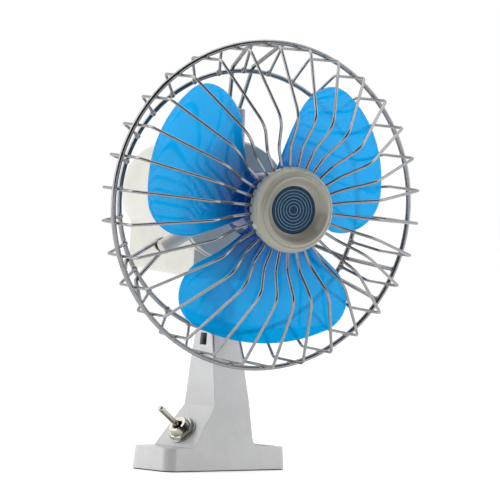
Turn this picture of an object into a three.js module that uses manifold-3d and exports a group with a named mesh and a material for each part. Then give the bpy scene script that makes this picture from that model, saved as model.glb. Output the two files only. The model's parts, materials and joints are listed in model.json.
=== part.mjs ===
// Desk fan with a wire guard: a hollow moulded stand with a toggle switch carries a swivel neck,
// and the neck carries a motor head with three translucent blades inside a cage of thirty wires.
// Millimetres, +Z up. The origin is the middle of the foot's underside, the foot runs along X,
// and the fan faces -Y when the neck is centred.

import * as THREE from 'three';
import { mergeVertices } from 'three/addons/utils/BufferGeometryUtils.js';
import Module from 'manifold-3d';

const wasm = await Module();
wasm.setup();

// ---------------------------------------------------------------- driving dimensions

const gap = 0.3; // clearance between pieces that touch

// stand: an oblong foot, a sloping front for the switch and a tapered column
const footLength = 95.5;
const footWidth = 33.2;
const footHeight = 13.2;
const footDraft = 3.8; // degrees
const footCorner = 6.5;
const footTopFillet = 1.6;
const standWall = 2;
const slopeFoot = -28.4; // where the slope starts on the foot, along X
const columnBase = { z: 36.1, front: -9.6, rear: 18.1, width: 24.3 };
const columnWaist = { z: 64, front: -9.4, rear: 14.1, width: 17.3 };
const columnTop = { z: 82, front: -8.4, rear: 10.9, width: 11.8 };
const columnCorner = 2;
const rearFillet = 6;
const windowWidth = 5.2;
const windowLow = 70.2;
const windowHigh = 77;

// base plate that closes the hollow foot
const plateFlange = 0.9;
const plateStep = 1.6;
const baseScrewInset = 10.25; // from the foot's end to the screw's axis
const baseScrewX = footLength / 2 - baseScrewInset;
const baseScrewRadius = 1.5;
const baseScrewHead = 3.1;
const baseScrewLength = 9;
const baseBossRadius = 3.6;

// toggle switch on the slope
const switchPlace = 0.635; // share of the slope's length, from its top
const bushingRadius = 5.85;
const bushingReach = 6.45; // past the slope's face
const bushingPitch = 0.75;
const switchNutFlats = 14;
const switchNutHeight = 2.2;
const switchWasherRadius = 8.2;
const switchWasherHeight = 0.6;
const switchBody = { along: 13, across: 12, deep: 9.5 };
const leverLength = 17.2; // past the bushing
const leverRootRadius = 1.5;
const leverTipRadius = 1.75;
const leverPivotDepth = 5; // below the bushing's mouth
const leverTail = 7; // below the pivot
const leverRest = 9; // degrees from square to the slope, towards the foot
const leverWell = 3.4; // radius of the room for the tail in the body
const terminal = { width: 2.4, thick: 0.8, length: 4.5, spacing: 4 };

// speed resistor and cord grommet in the foot
const resistor = { length: 22, width: 7, height: 6.5, x: 18 };
const grommetHeight = 6.8;
const grommetBoreRadius = 1.8;
const grommetNeckRadius = 2.8;
const grommetFlangeRadius = 3.9;
const grommetFlange = 1.2;

// swivel neck: a yoke on a stud that turns in the column's top
const panAxisX = 2;
const panRest = -20; // degrees
const studRadius = 2;
const panNutRadius = 3.4;
const panNutHeight = 3;
const panWasherRadius = 4.2;
const panWasherHeight = 1;
const yokeBaseRadius = 8.6;
const yokeBaseHeight = 3.6;
const tiltAxisHeight = columnTop.z + 15;
const cheekThick = 3.4;
const cheekRadius = 7;
const tongueThick = 7;
const tiltBoltRadius = 2;
const tiltHeadRadius = 3.8;
const tiltHeadHeight = 2.4;
const tiltNutFlats = 7;
const tiltNutHeight = 3.2;
const tiltBoreHalf = 20; // the cross bore is cut this far each way

// head: distances along the fan's axis are measured forward from the outer guard ring
const noseDown = 2.5; // how far the head leans down at rest, degrees
const axisRise = 55; // the fan's axis above the tilt axis
const ringReach = 50; // outer ring ahead of the pan axis
const guardTurn = 2.5; // the guard and its arms sit turned by this on the head, degrees

// motor housing with the block under it
const housingFront = -41;
const housingRear = -139;
const housingFrontRadius = 34;
const housingRearRadius = 28.5;
const housingEdge = 11; // rounding at the rear
const housingWall = 2.4;
const blockFront = -47;
const blockRear = -127;
const blockDepth = 44.8;
const blockHalfFront = 18.5;
const blockHalfRear = 23;
const blockCorner = 5;
const ventCount = 8;
const ventWidth = 2.8;
const ventInner = 12;
const ventOuter = 22;

// front bell: the plate with three arms that closes the housing
const bellThick = 3.6;
const bellArmRadius = 4.3;
const bellArmStart = 11;
const bellBossRadius = 8;
const bellBossReach = -31;
const bellScrewCircle = housingFrontRadius - 6;
const bellScrewRadius = 1.5;
const bellScrewHead = 3;
const bellScrewLength = 11;
const housingBossRadius = 3.4;
const stayScrewCircle = housingFrontRadius + 14.5;
const bellArmReach = stayScrewCircle + 3.5;
const stayScrewRadius = 1.5;
const stayScrewHead = 3.8;

// motor
const canRadius = 22;
const canWall = 1.5;
const canLength = 60;
const canBossRadius = 6.4;
const canBossLength = 6;
const bearingOuter = 4.5;
const bearingFrontLength = 8.5;
const bearingRearLength = 5;
const shaftRadius = 2.5;
const magnetThick = 4;
const magnetLength = 36;
const magnetSpan = 130; // degrees
const coreLength = 32;
const coreAirGap = 0.6;
const corePoles = 5;
const windingLength = 5;
const commutatorRadius = 5;
const commutatorLength = 4.6;
const brush = { length: 7, width: 4, height: 3.6 };
const brushPlateThick = 2;

// guard
const wireCount = 30;
const wireRadius = 0.8;
const ringRadius = 1.4;
const wallRadius = 88.3; // wires' centreline on the side wall
const weldDepth = 0.3; // how far the outer ring is sunk into the wires
const outerRingRadius = wallRadius + wireRadius + ringRadius - weldDepth;
const rearRingRadius = 73.4;
const rearRingPlace = -30.6;
const rearRingWire = 1.35;
const hubRingRadius = 20.5;
const wireHubPlace = 32;
const wireDishRadius = 34.5;
const wireDishPlace = 32.6;
const wireDishBend = 10;
const kneeRadius = 50.5;
const kneePlace = 43.2;
const kneeBend = 9;
const frontCornerPlace = 17;
const frontCornerBend = 5;
const rearCornerPlace = -20.2;
const rearCornerBend = 3;
const stayRadius = 1.2;
const stayEye = 3; // centreline radius round its screw
const staySpread = 6.2; // degrees each side at the outer ring
const staySpreadRear = 4.5; // degrees each side at the rear ring

// bezel in the middle of the guard
const bezelRadius = 23.4;
const bezelDepth = 10.6;
const bezelRimRadius = 18;
const badgeRadius = 12.9;
const badgeDepth = 5.6;
const badgeThick = 1.3;
const bezelFloor = 2;
const bezelBossRadius = 4;
const bezelScrewRadius = 1.5;
const clampRadius = 22.4;
const clampThick = 1.7;

// blades
const hubRadius = 18.5;
const hubFront = 15;
const hubRear = -13;
const hubWall = 2.2;
const hubBossRadius = 5;
const hubBossRear = -27;
const bladeCount = 3;
const bladePhase = 30; // degrees
const bladeRadius = 76;
const bladeRoot = 17.4;
const bladeThick = 1.8;
const bladeHalfRoot = 43; // half angles, degrees
const bladeHalfWide = 47.5;
const bladeSweepRoot = 10; // how far the blade's middle line leans, degrees
const bladeSweepWide = 2;
const bladeCorner = 28;
const bladeWideRadius = bladeRadius - bladeCorner;
const bladePitchRoot = 6; // rise of each edge from the middle
const bladePitchTip = 20;
const bladeMiddle = 3.2;
const hubNutFlats = 8;
const hubNutHeight = 4;

// ---------------------------------------------------------------- shaping

const rad = THREE.MathUtils.degToRad;

function closed( geometry ) {

	geometry.deleteAttribute( 'normal' );
	geometry.deleteAttribute( 'uv' );
	const merged = mergeVertices( geometry, 1e-4 );
	const place = merged.attributes.position;
	const index = Array.from( merged.index.array );
	const corners = [ new THREE.Vector3(), new THREE.Vector3(), new THREE.Vector3() ];
	const kept = [];
	let volume = 0;
	for ( let i = 0; i < index.length; i += 3 ) {

		const [ a, b, c ] = index.slice( i, i + 3 );
		if ( a === b || b === c || a === c ) continue;
		kept.push( a, b, c );
		[ a, b, c ].forEach( ( n, k ) => corners[ k ].fromBufferAttribute( place, n ) );
		volume += corners[ 0 ].dot( corners[ 1 ].clone().cross( corners[ 2 ] ) );

	}

	if ( volume < 0 ) kept.reverse();
	return new wasm.Manifold( new wasm.Mesh( {
		numProp: 3,
		vertProperties: new Float32Array( place.array ),
		triVerts: new Uint32Array( kept ),
	} ) );

}

function box( x, y, z, at = [ 0, 0, 0 ] ) {

	return closed( new THREE.BoxGeometry( x, y, z ).translate( ...at ) );

}

// a turned piece: its profile is a list of [radius, place along +Z]
function turned( profile, sides = 28 ) {

	const points = profile.map( ( [ r, z ] ) => new THREE.Vector2( r, z ) );
	return closed( new THREE.LatheGeometry( points, sides ).rotateX( Math.PI / 2 ) );

}

function disc( radius, low, high, sides = 28 ) {

	return turned( [ [ 0, low ], [ radius, low ], [ radius, high ], [ 0, high ] ], sides );

}

function tube( inner, outer, low, high, sides = 28 ) {

	return turned( [ [ inner, low ], [ outer, low ], [ outer, high ], [ inner, high ], [ inner, low ] ], sides );

}

function hexagon( flats, low, high ) {

	const corner = flats / Math.sqrt( 3 );
	return turned( [ [ 0, low ], [ corner, low ], [ corner, high ], [ 0, high ] ], 6 );

}

function outline( points, low, high, steps = 6 ) {

	const shape = new THREE.Shape( points );
	const geometry = new THREE.ExtrudeGeometry( shape, {
		depth: high - low, bevelEnabled: false, curveSegments: steps,
	} );
	return closed( geometry.translate( 0, 0, low ) );

}

// a convex skin through rings that all have the same number of points
function skin( rings ) {

	const count = rings[ 0 ].length;
	const place = rings.flat().flatMap( ( p ) => p.toArray() );
	const index = [];
	for ( let r = 0; r < rings.length - 1; r ++ ) {

		for ( let i = 0; i < count; i ++ ) {

			const a = r * count + i;
			const b = r * count + ( i + 1 ) % count;
			index.push( a, b, b + count, a, b + count, a + count );

		}

	}

	const last = ( rings.length - 1 ) * count;
	for ( let i = 1; i < count - 1; i ++ ) {

		index.push( 0, i + 1, i );
		index.push( last, last + i, last + i + 1 );

	}

	const geometry = new THREE.BufferGeometry();
	geometry.setAttribute( 'position', new THREE.Float32BufferAttribute( place, 3 ) );
	geometry.setIndex( index );
	return closed( geometry );

}

// one ring of a skin: a rounded rectangle between two corners, at a height
function roundedRing( x0, x1, y0, y1, z, corner, steps = 3 ) {

	const centres = [
		[ x1 - corner, y1 - corner, 0 ],
		[ x0 + corner, y1 - corner, 90 ],
		[ x0 + corner, y0 + corner, 180 ],
		[ x1 - corner, y0 + corner, 270 ],
	];
	const ring = [];
	for ( const [ cx, cy, start ] of centres ) {

		for ( let i = 0; i <= steps; i ++ ) {

			const angle = rad( start + 90 * i / steps );
			ring.push( new THREE.Vector3( cx + corner * Math.cos( angle ), cy + corner * Math.sin( angle ), z ) );

		}

	}

	return ring;

}

// a route through chosen points, whose steps are the points themselves
class Route extends THREE.Curve {

	constructor( points ) {

		super();
		this.points = points;

	}

	getPoint( t, target = new THREE.Vector3() ) {

		const place = t * ( this.points.length - 1 );
		const i = Math.min( Math.floor( place ), this.points.length - 2 );
		return target.lerpVectors( this.points[ i ], this.points[ i + 1 ], place - i );

	}

	getPointAt( u, target ) {

		return this.getPoint( u, target );

	}

	getTangentAt( u, target = new THREE.Vector3() ) {

		const last = this.points.length - 1;
		const i = Math.round( u * last );
		const before = this.points[ Math.max( i - 1, 0 ) ];
		const here = this.points[ i ];
		const after = this.points[ Math.min( i + 1, last ) ];
		const arriving = here.clone().sub( before ).normalize();
		return target.copy( after ).sub( here ).normalize().add( arriving ).normalize();

	}

}

function wire( points, radius, sides = 5 ) {

	const section = [];
	for ( let i = 0; i < sides; i ++ ) {

		const angle = 2 * Math.PI * i / sides;
		section.push( new THREE.Vector2( radius * Math.cos( angle ), radius * Math.sin( angle ) ) );

	}

	return closed( new THREE.ExtrudeGeometry( new THREE.Shape( section ), {
		steps: points.length - 1, extrudePath: new Route( points ), curveSegments: 1,
	} ) );

}

// rounds the corners of a flat path: each inner point is [x, y, radius, steps]
function rounded( path ) {

	const result = [];
	path.forEach( ( [ x, y, radius, steps ], i ) => {

		const corner = new THREE.Vector2( x, y );
		if ( ! radius ) {

			result.push( corner );
			return;

		}

		const back = new THREE.Vector2( path[ i - 1 ][ 0 ], path[ i - 1 ][ 1 ] ).sub( corner ).normalize();
		const ahead = new THREE.Vector2( path[ i + 1 ][ 0 ], path[ i + 1 ][ 1 ] ).sub( corner ).normalize();
		const half = back.angleTo( ahead ) / 2;
		const centre = back.clone().add( ahead ).normalize().multiplyScalar( radius / Math.sin( half ) ).add( corner );
		const start = back.multiplyScalar( radius / Math.tan( half ) ).add( corner ).sub( centre );
		const side = Math.sign( start.cross( ahead ) ) || 1;
		const turn = side * ( Math.PI - 2 * half );
		for ( let k = 0; k <= steps; k ++ ) {

			result.push( start.clone().rotateAround( new THREE.Vector2(), turn * k / steps ).add( centre ) );

		}

	} );
	return result;

}

function moved( solid, x, y, z ) {

	return solid.translate( [ x, y, z ] );

}

function spun( solid, angle ) {

	return solid.rotate( [ 0, 0, angle ] );

}

function joined( ...solids ) {

	return solids.reduce( ( all, one ) => all.add( one ) );

}

function cut( solid, ...tools ) {

	return tools.reduce( ( left, tool ) => left.subtract( tool ), solid );

}

// a screw along Z, its head above z = 0 and its shank below
function screw( headRadius, headHeight, shankRadius, length ) {

	const slot = box( headRadius * 3, 0.9, headHeight, [ 0, 0, headHeight ] );
	return cut( turned( [
		[ 0, - length ], [ shankRadius * 0.6, - length ], [ shankRadius, - length + 0.8 ], [ shankRadius, 0 ],
		[ headRadius, 0 ], [ headRadius, headHeight * 0.6 ], [ headRadius * 0.8, headHeight ], [ 0, headHeight ],
	], 10 ), slot );

}

// ---------------------------------------------------------------- materials

function finish( color, roughness, metalness ) {

	return new THREE.MeshStandardMaterial( { color, roughness, metalness } );

}

const standPlastic = finish( 0xc6c6c6, 0.35, 0 );
const housingPlastic = finish( 0xd6d4c8, 0.4, 0 );
const bezelPlastic = finish( 0xa5a091, 0.4, 0 );
const badgeBlue = finish( 0x1d4e73, 0.3, 0 );
const bladeBlue = finish( 0x1596e6, 0.15, 0 );
bladeBlue.transparent = true;
bladeBlue.opacity = 0.85;
const dullWire = finish( 0x9a9a98, 0.45, 0.8 );
const brightNickel = finish( 0xd2d0cb, 0.2, 1 );
const plainSteel = finish( 0xa8aaac, 0.35, 1 );
const blackRubber = finish( 0x1c1c1c, 0.8, 0 );
const darkPlastic = finish( 0x2a2a2a, 0.6, 0 );
const copper = finish( 0xb4693a, 0.35, 1 );
const bronze = finish( 0xa9803f, 0.4, 1 );
const ferrite = finish( 0x3a3838, 0.7, 0 );
const ceramic = finish( 0xe6e0d2, 0.8, 0 );

const fan = new THREE.Group();

function add( group, name, solid, material ) {

	const { vertProperties, triVerts } = solid.getMesh();
	const geometry = new THREE.BufferGeometry();
	geometry.setAttribute( 'position', new THREE.BufferAttribute( vertProperties, 3 ) );
	geometry.setIndex( new THREE.BufferAttribute( triVerts, 1 ) );
	geometry.computeVertexNormals();
	const mesh = new THREE.Mesh( geometry, material );
	mesh.name = name;
	group.add( mesh );
	return mesh;

}

// ---------------------------------------------------------------- stand

// the foot, drawn in by its draft and rounded over at the top
function footSolid( inset, low, high, fillet ) {

	const ring = ( z, extra ) => {

		const drawn = inset + extra + z * Math.tan( rad( footDraft ) );
		const x = footLength / 2 - drawn;
		const y = footWidth / 2 - drawn;
		return roundedRing( - x, x, - y, y, z, Math.max( footCorner - inset - extra, 0.8 ) );

	};

	return skin( fillet
		? [ ring( low, 0 ), ring( high - fillet, 0 ), ring( high - fillet * 0.3, fillet * 0.3 ), ring( high, fillet ) ]
		: [ ring( low, 0 ), ring( high, 0 ) ] );

}

// the slope and column, as rings between named stations
function columnSolid( inset, low, high ) {

	const base = { z: footHeight - 3, front: slopeFoot, rear: columnBase.rear + 0.8 };
	const footTopWidth = footWidth - 2 * footHeight * Math.tan( rad( footDraft ) );
	const slopeRise = ( columnBase.front - slopeFoot ) / ( columnBase.z - footHeight );
	const at = ( z ) => {

		if ( z <= columnBase.z ) {

			const share = ( z - footHeight ) / ( columnBase.z - footHeight );
			return {
				front: slopeFoot + slopeRise * ( z - footHeight ),
				rear: THREE.MathUtils.lerp( base.rear, columnBase.rear, share ),
				width: THREE.MathUtils.lerp( footTopWidth, columnBase.width, Math.min( Math.max( share, 0 ), 1 ) ),
			};

		}

		const [ from, to ] = z <= columnWaist.z ? [ columnBase, columnWaist ] : [ columnWaist, columnTop ];
		const share = ( z - from.z ) / ( to.z - from.z );
		return {
			front: THREE.MathUtils.lerp( from.front, to.front, share ),
			rear: THREE.MathUtils.lerp( from.rear, to.rear, share ),
			width: THREE.MathUtils.lerp( from.width, to.width, share ),
		};

	};

	const stations = [ low, footHeight, columnBase.z, columnWaist.z, high ].filter( ( z ) => z >= low && z <= high );
	const rings = [ ...new Set( stations ) ].map( ( z ) => {

		const { front, rear, width } = at( z );
		const corner = Math.max( columnCorner - inset, 0.8 );
		return roundedRing( front + inset, rear - inset, inset - width / 2, width / 2 - inset, z, corner );

	} );
	return skin( rings );

}

// the concave fillet between the column's rear and the foot's top
function rearFilletSolid() {

	const half = columnBase.width / 2 - 0.4;
	const x = columnBase.rear + 0.4;
	const low = footHeight - 1;
	const points = [ new THREE.Vector2( x - 3, low ), new THREE.Vector2( x + rearFillet, low ) ];
	const steps = 6;
	for ( let i = 0; i <= steps; i ++ ) {

		const angle = rad( 270 - 90 * i / steps );
		points.push( new THREE.Vector2(
			x + rearFillet + rearFillet * Math.cos( angle ),
			footHeight + rearFillet + rearFillet * Math.sin( angle ),
		) );

	}

	points.push( new THREE.Vector2( x - 3, footHeight + rearFillet ) );
	return outline( points, - half, half ).rotate( [ 90, 0, 0 ] );

}

const slopeTop = new THREE.Vector3( columnBase.front, 0, columnBase.z );
const slopeBottom = new THREE.Vector3( slopeFoot, 0, footHeight );
const switchSeat = slopeTop.clone().lerp( slopeBottom, switchPlace );
const slopeAlong = slopeTop.clone().sub( slopeBottom ).normalize();
const switchTilt = - THREE.MathUtils.radToDeg( Math.atan2( slopeAlong.z, slopeAlong.x ) );

// puts a piece that was drawn along +Z on the slope, square to its face
function onSlope( solid ) {

	return moved( solid.rotate( [ 0, switchTilt, 0 ] ), ...switchSeat.toArray() );

}

const shellLow = plateFlange + gap;
const plateTop = plateFlange + plateStep;
const shellRoof = footHeight - standWall;
const columnRoof = columnTop.z - standWall * 2;
const slopeWall = standWall * Math.abs( slopeAlong.z );
const grommetX = footLength / 2 - grommetHeight * Math.tan( rad( footDraft ) );

// puts a piece that was drawn along +Z through the foot's end wall, facing +X
function onFootEnd( solid ) {

	return moved( solid.rotate( [ 0, 90 - footDraft, 0 ] ), grommetX, 0, grommetHeight );

}

const standShell = cut(
	joined(
		cut(
			joined( footSolid( 0, shellLow, footHeight, footTopFillet ), columnSolid( 0, footHeight - 3, columnTop.z ), rearFilletSolid() ),
			footSolid( standWall, - 1, shellRoof, 0 ),
			columnSolid( standWall, footHeight - 4, columnRoof ),
		),
		...[ - 1, 1 ].map( ( side ) => moved( disc( baseBossRadius, plateTop + gap, shellRoof + 0.5, 16 ), side * baseScrewX, 0, 0 ) ),
	),
	...[ - 1, 1 ].map( ( side ) => moved( disc( baseScrewRadius + gap, 0, shellRoof - 0.5, 12 ), side * baseScrewX, 0, 0 ) ),
	box( 12, windowWidth, windowHigh - windowLow, [ columnWaist.front, 0, ( windowLow + windowHigh ) / 2 ] ),
	moved( disc( studRadius + gap, columnRoof - 1, columnTop.z + 1, 16 ), panAxisX, 0, 0 ),
	onSlope( disc( bushingRadius + gap, - 6, 4, 24 ) ),
	onFootEnd( disc( grommetNeckRadius + gap, - 5, 3, 24 ) ),
);
add( fan, 'stand_shell', standShell, standPlastic );

const plateOutline = ( inset, low, high ) => {

	const x = footLength / 2 - inset;
	const y = footWidth / 2 - inset;
	return skin( [ low, high ].map( ( z ) => roundedRing( - x, x, - y, y, z, footCorner - inset ) ) );

};

// the countersunk screws sit just inside the plate's underside
const baseScrewSeat = 0.2;
const countersinkTop = baseScrewSeat + baseScrewHead - baseScrewRadius;
const baseScrewHole = turned( [
	[ 0, - 1 ], [ baseScrewHead + gap + 0.2, - 1 ], [ baseScrewHead + gap + 0.2, 0.1 ],
	[ baseScrewRadius + gap, countersinkTop + 0.1 ], [ baseScrewRadius + gap, plateTop + 1 ], [ 0, plateTop + 1 ],
], 16 );
add( fan, 'base_plate', cut(
	joined( plateOutline( 0, 0, plateFlange ), plateOutline( standWall + 0.7, 0, plateTop ) ),
	...[ - 1, 1 ].map( ( side ) => moved( baseScrewHole, side * baseScrewX, 0, 0 ) ),
), blackRubber );

[ - 1, 1 ].forEach( ( side, i ) => {

	const slot = box( baseScrewHead * 3, 0.9, 0.8, [ 0, 0, baseScrewSeat ] );
	const shape = cut( turned( [
		[ 0, baseScrewSeat ], [ baseScrewHead, baseScrewSeat ], [ baseScrewRadius, countersinkTop ],
		[ baseScrewRadius, baseScrewLength - 0.8 ], [ baseScrewRadius * 0.6, baseScrewLength ], [ 0, baseScrewLength ],
	], 16 ), slot );
	add( fan, `base_screw_${ i + 1 }`, moved( shape, side * baseScrewX, 0, 0 ), plainSteel );

} );

add( fan, 'cord_grommet', onFootEnd( turned( [
	[ grommetBoreRadius, 0.5 + grommetFlange ],
	[ grommetBoreRadius, - standWall - 0.5 - grommetFlange ],
	[ grommetFlangeRadius, - standWall - 0.5 - grommetFlange ],
	[ grommetFlangeRadius, - standWall - 0.5 ],
	[ grommetNeckRadius, - standWall - 0.5 ],
	[ grommetNeckRadius, gap ],
	[ grommetFlangeRadius, gap ],
	[ grommetFlangeRadius - 0.6, 0.5 + grommetFlange ],
	[ grommetBoreRadius, 0.5 + grommetFlange ],
], 16 ) ), blackRubber );

add( fan, 'speed_resistor', box(
	resistor.length, resistor.width, resistor.height,
	[ resistor.x, 0, plateTop + gap + resistor.height / 2 ],
), ceramic );

// ---------------------------------------------------------------- toggle switch

const bodyTop = - slopeWall - gap;
const bodyBottom = bodyTop - switchBody.deep;
const bushingMouth = 1.2; // radius of the opening around the lever's ball

add( fan, 'switch_body', onSlope( cut(
	box( switchBody.along, switchBody.across, switchBody.deep, [ 0, 0, ( bodyTop + bodyBottom ) / 2 ] ),
	disc( bushingRadius + gap, bodyTop - 2, bodyTop + 1, 24 ),
	disc( leverWell, bodyTop - 5, bodyTop + 1, 16 ),
) ), darkPlastic );

const thread = [ [ 0, 0 ] ];
const threadLow = switchWasherHeight + switchNutHeight + 1;
const threadTurns = Math.floor( ( bushingReach - threadLow - 0.8 ) / bushingPitch );
for ( let i = 0; i < threadTurns; i ++ ) {

	thread.push( [ bushingRadius, threadLow + i * bushingPitch ] );
	thread.push( [ bushingRadius - 0.4, threadLow + ( i + 0.5 ) * bushingPitch ] );

}

thread.shift();
add( fan, 'switch_bushing', onSlope( turned( [
	[ leverRootRadius + bushingMouth, bushingReach ],
	[ leverRootRadius + bushingMouth + 0.5, bodyTop - 1.7 ],
	[ bushingRadius - 0.3, bodyTop - 1.7 ],
	[ bushingRadius - 0.3, threadLow - 0.4 ],
	...thread,
	[ bushingRadius, bushingReach - 0.6 ],
	[ bushingRadius - 0.6, bushingReach ],
	[ leverRootRadius + bushingMouth, bushingReach ],
], 20 ) ), brightNickel );

add( fan, 'switch_washer', onSlope( tube( bushingRadius + gap, switchWasherRadius, gap, gap + switchWasherHeight, 20 ) ), plainSteel );

const nutLow = gap * 2 + switchWasherHeight;
const nutChamfer = turned( [
	[ 0, nutLow - 1 ], [ 9, nutLow - 1 ], [ 9, nutLow + switchNutHeight * 0.6 ],
	[ switchNutFlats / 2, nutLow + switchNutHeight + 0.3 ], [ 0, nutLow + switchNutHeight + 0.3 ],
], 24 );
add( fan, 'switch_nut', onSlope( cut(
	hexagon( switchNutFlats, nutLow, nutLow + switchNutHeight ).intersect( nutChamfer ),
	disc( bushingRadius + gap, 0, 6, 20 ),
) ), brightNickel );

[ - 1, 0, 1 ].forEach( ( place, i ) => {

	const low = bodyBottom - gap;
	add( fan, `switch_terminal_${ i + 1 }`, onSlope( box(
		terminal.thick, terminal.width, terminal.length,
		[ place * terminal.spacing, 0, low - terminal.length / 2 ],
	) ), bronze );

} );

const leverBase = bushingReach - leverPivotDepth;
const leverTop = bushingReach + leverLength;
const lever = turned( [
	[ 0, leverBase - leverTail ],
	[ 1, leverBase - leverTail ],
	[ 1.1, leverBase - 1.6 ],
	[ leverRootRadius + 0.5, leverBase - 1 ],
	[ leverRootRadius + 0.5, leverBase + 1 ],
	[ leverRootRadius, leverBase + 1.8 ],
	[ leverRootRadius, bushingReach ],
	[ leverTipRadius, leverTop - 4 ],
	[ leverTipRadius, leverTop - 1.2 ],
	[ leverTipRadius * 0.8, leverTop - 0.4 ],
	[ leverTipRadius * 0.45, leverTop ],
	[ 0, leverTop ],
], 12 );
const leverTilted = moved( lever, 0, 0, - leverBase ).rotate( [ 0, - leverRest, 0 ] );
add( fan, 'switch_lever', onSlope( moved( leverTilted, 0, 0, leverBase ) ), brightNickel );

// ---------------------------------------------------------------- swivel neck

const neck = new THREE.Group();
neck.position.set( panAxisX, 0, 0 );
neck.rotation.z = rad( panRest );
fan.add( neck );

const yokeLow = columnTop.z + gap;
const cheekInner = tongueThick / 2 + gap;
const studEnd = columnRoof - panWasherHeight - panNutHeight - gap * 2 - 1;
const cheek = ( side ) => {

	const low = yokeLow + yokeBaseHeight - 1;
	const points = [ new THREE.Vector2( - cheekRadius, low ), new THREE.Vector2( cheekRadius, low ) ];
	for ( let i = 0; i <= 8; i ++ ) {

		const angle = rad( 22.5 * i );
		points.push( new THREE.Vector2( cheekRadius * Math.cos( angle ), tiltAxisHeight + cheekRadius * Math.sin( angle ) ) );

	}

	const flat = outline( points, 0, cheekThick ).rotate( [ 90, 0, 90 ] );
	return moved( flat, side > 0 ? cheekInner : - cheekInner - cheekThick, 0, 0 );

};

// turns a piece drawn along +Z so that it lies along +X at the tilt axis
function onTiltAxis( solid ) {

	return moved( solid.rotate( [ 0, 90, 0 ] ), 0, 0, tiltAxisHeight );

}

add( neck, 'yoke', cut(
	joined(
		turned( [
			[ 0, studEnd ], [ studRadius, studEnd ], [ studRadius, yokeLow ], [ yokeBaseRadius, yokeLow ],
			[ yokeBaseRadius, yokeLow + yokeBaseHeight - 1 ], [ yokeBaseRadius - 1, yokeLow + yokeBaseHeight ],
			[ 0, yokeLow + yokeBaseHeight ],
		], 24 ),
		cheek( 1 ), cheek( - 1 ),
	),
	onTiltAxis( disc( tiltBoltRadius + gap, - tiltBoreHalf, tiltBoreHalf, 16 ) ),
), plainSteel );

const panWasherLow = columnRoof - gap - panWasherHeight;
add( neck, 'pan_washer', tube( studRadius + gap, panWasherRadius, panWasherLow, columnRoof - gap, 16 ), plainSteel );
add( neck, 'pan_nut', tube(
	studRadius + gap, panNutRadius, panWasherLow - gap - panNutHeight, panWasherLow - gap, 16,
), plainSteel );

const boltSeat = cheekInner + cheekThick + gap;
const boltEnd = boltSeat + tiltNutHeight + gap + 1;
add( neck, 'tilt_bolt', onTiltAxis( moved( screw( tiltHeadRadius, tiltHeadHeight, tiltBoltRadius, boltSeat + boltEnd ), 0, 0, boltSeat ) ), brightNickel );
add( neck, 'tilt_nut', onTiltAxis( cut(
	hexagon( tiltNutFlats, - boltSeat - tiltNutHeight, - boltSeat ),
	disc( tiltBoltRadius + gap, - tiltBoreHalf, tiltBoreHalf, 16 ),
) ), brightNickel );

// ---------------------------------------------------------------- motor housing

// the head is drawn along +Z, with +Y up, and turned to face forward
const headTilt = new THREE.Group();
headTilt.position.set( 0, 0, tiltAxisHeight );
headTilt.rotation.x = rad( noseDown );
neck.add( headTilt );
const head = new THREE.Group();
head.position.set( 0, - ringReach, axisRise );
head.rotation.x = Math.PI / 2;
headTilt.add( head );

function housingSkin( inset, low, high ) {

	const edge = housingEdge - inset * 0.6;
	const outer = housingRearRadius - inset;
	const profile = [ [ 0, low ] ];
	const steps = 4;
	for ( let i = 0; i <= steps; i ++ ) {

		const angle = rad( 90 * i / steps );
		profile.push( [ outer - edge + edge * Math.sin( angle ), low + edge - edge * Math.cos( angle ) ] );

	}

	profile.push( [ housingFrontRadius - inset, high ], [ 0, high ] );
	return turned( profile, 32 );

}

function blockSkin( inset, low, high ) {

	const ring = ( z ) => {

		const share = ( z - blockFront ) / ( blockRear - blockFront );
		const half = THREE.MathUtils.lerp( blockHalfFront, blockHalfRear, share ) - inset;
		return roundedRing( - half, half, inset - blockDepth, - 8, z, blockCorner - inset );

	};

	return skin( [ ring( low ), ring( high ) ] );

}

const tongue = ( () => {

	const top = 1 - blockDepth;
	const points = [ new THREE.Vector2( - cheekRadius, top ) ];
	for ( let i = 0; i <= 8; i ++ ) {

		const angle = rad( 180 + 22.5 * i );
		points.push( new THREE.Vector2( cheekRadius * Math.cos( angle ), - axisRise + cheekRadius * Math.sin( angle ) ) );

	}

	points.push( new THREE.Vector2( cheekRadius, top ) );
	const flat = outline( points, - tongueThick / 2, tongueThick / 2 );
	return moved( flat.rotate( [ 0, 90, 0 ] ), 0, 0, - ringReach );

} )();

const canFront = housingFront;
const canRear = canFront - canLength;
const canBossRear = canRear - canBossLength;
const bellLow = housingFront + gap;
const bellHigh = bellLow + bellThick;
const around = ( count, phase, make ) => {

	return Array.from( { length: count }, ( _, i ) => spun( make( i ), phase + 360 * i / count ) );

};

const screwPhase = 30 + guardTurn;
const armPhase = 90 + guardTurn;
const vent = box( ventOuter - ventInner, ventWidth, 20, [ ( ventInner + ventOuter ) / 2, 0, housingRear + 4 ] );
const housingBoss = moved( disc( housingBossRadius, - 22, 0, 12 ), bellScrewCircle, 0, housingFront );
const housingBossHole = moved( disc( bellScrewRadius + gap, - bellScrewLength - 1, 1, 8 ), bellScrewCircle, 0, housingFront );

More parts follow.
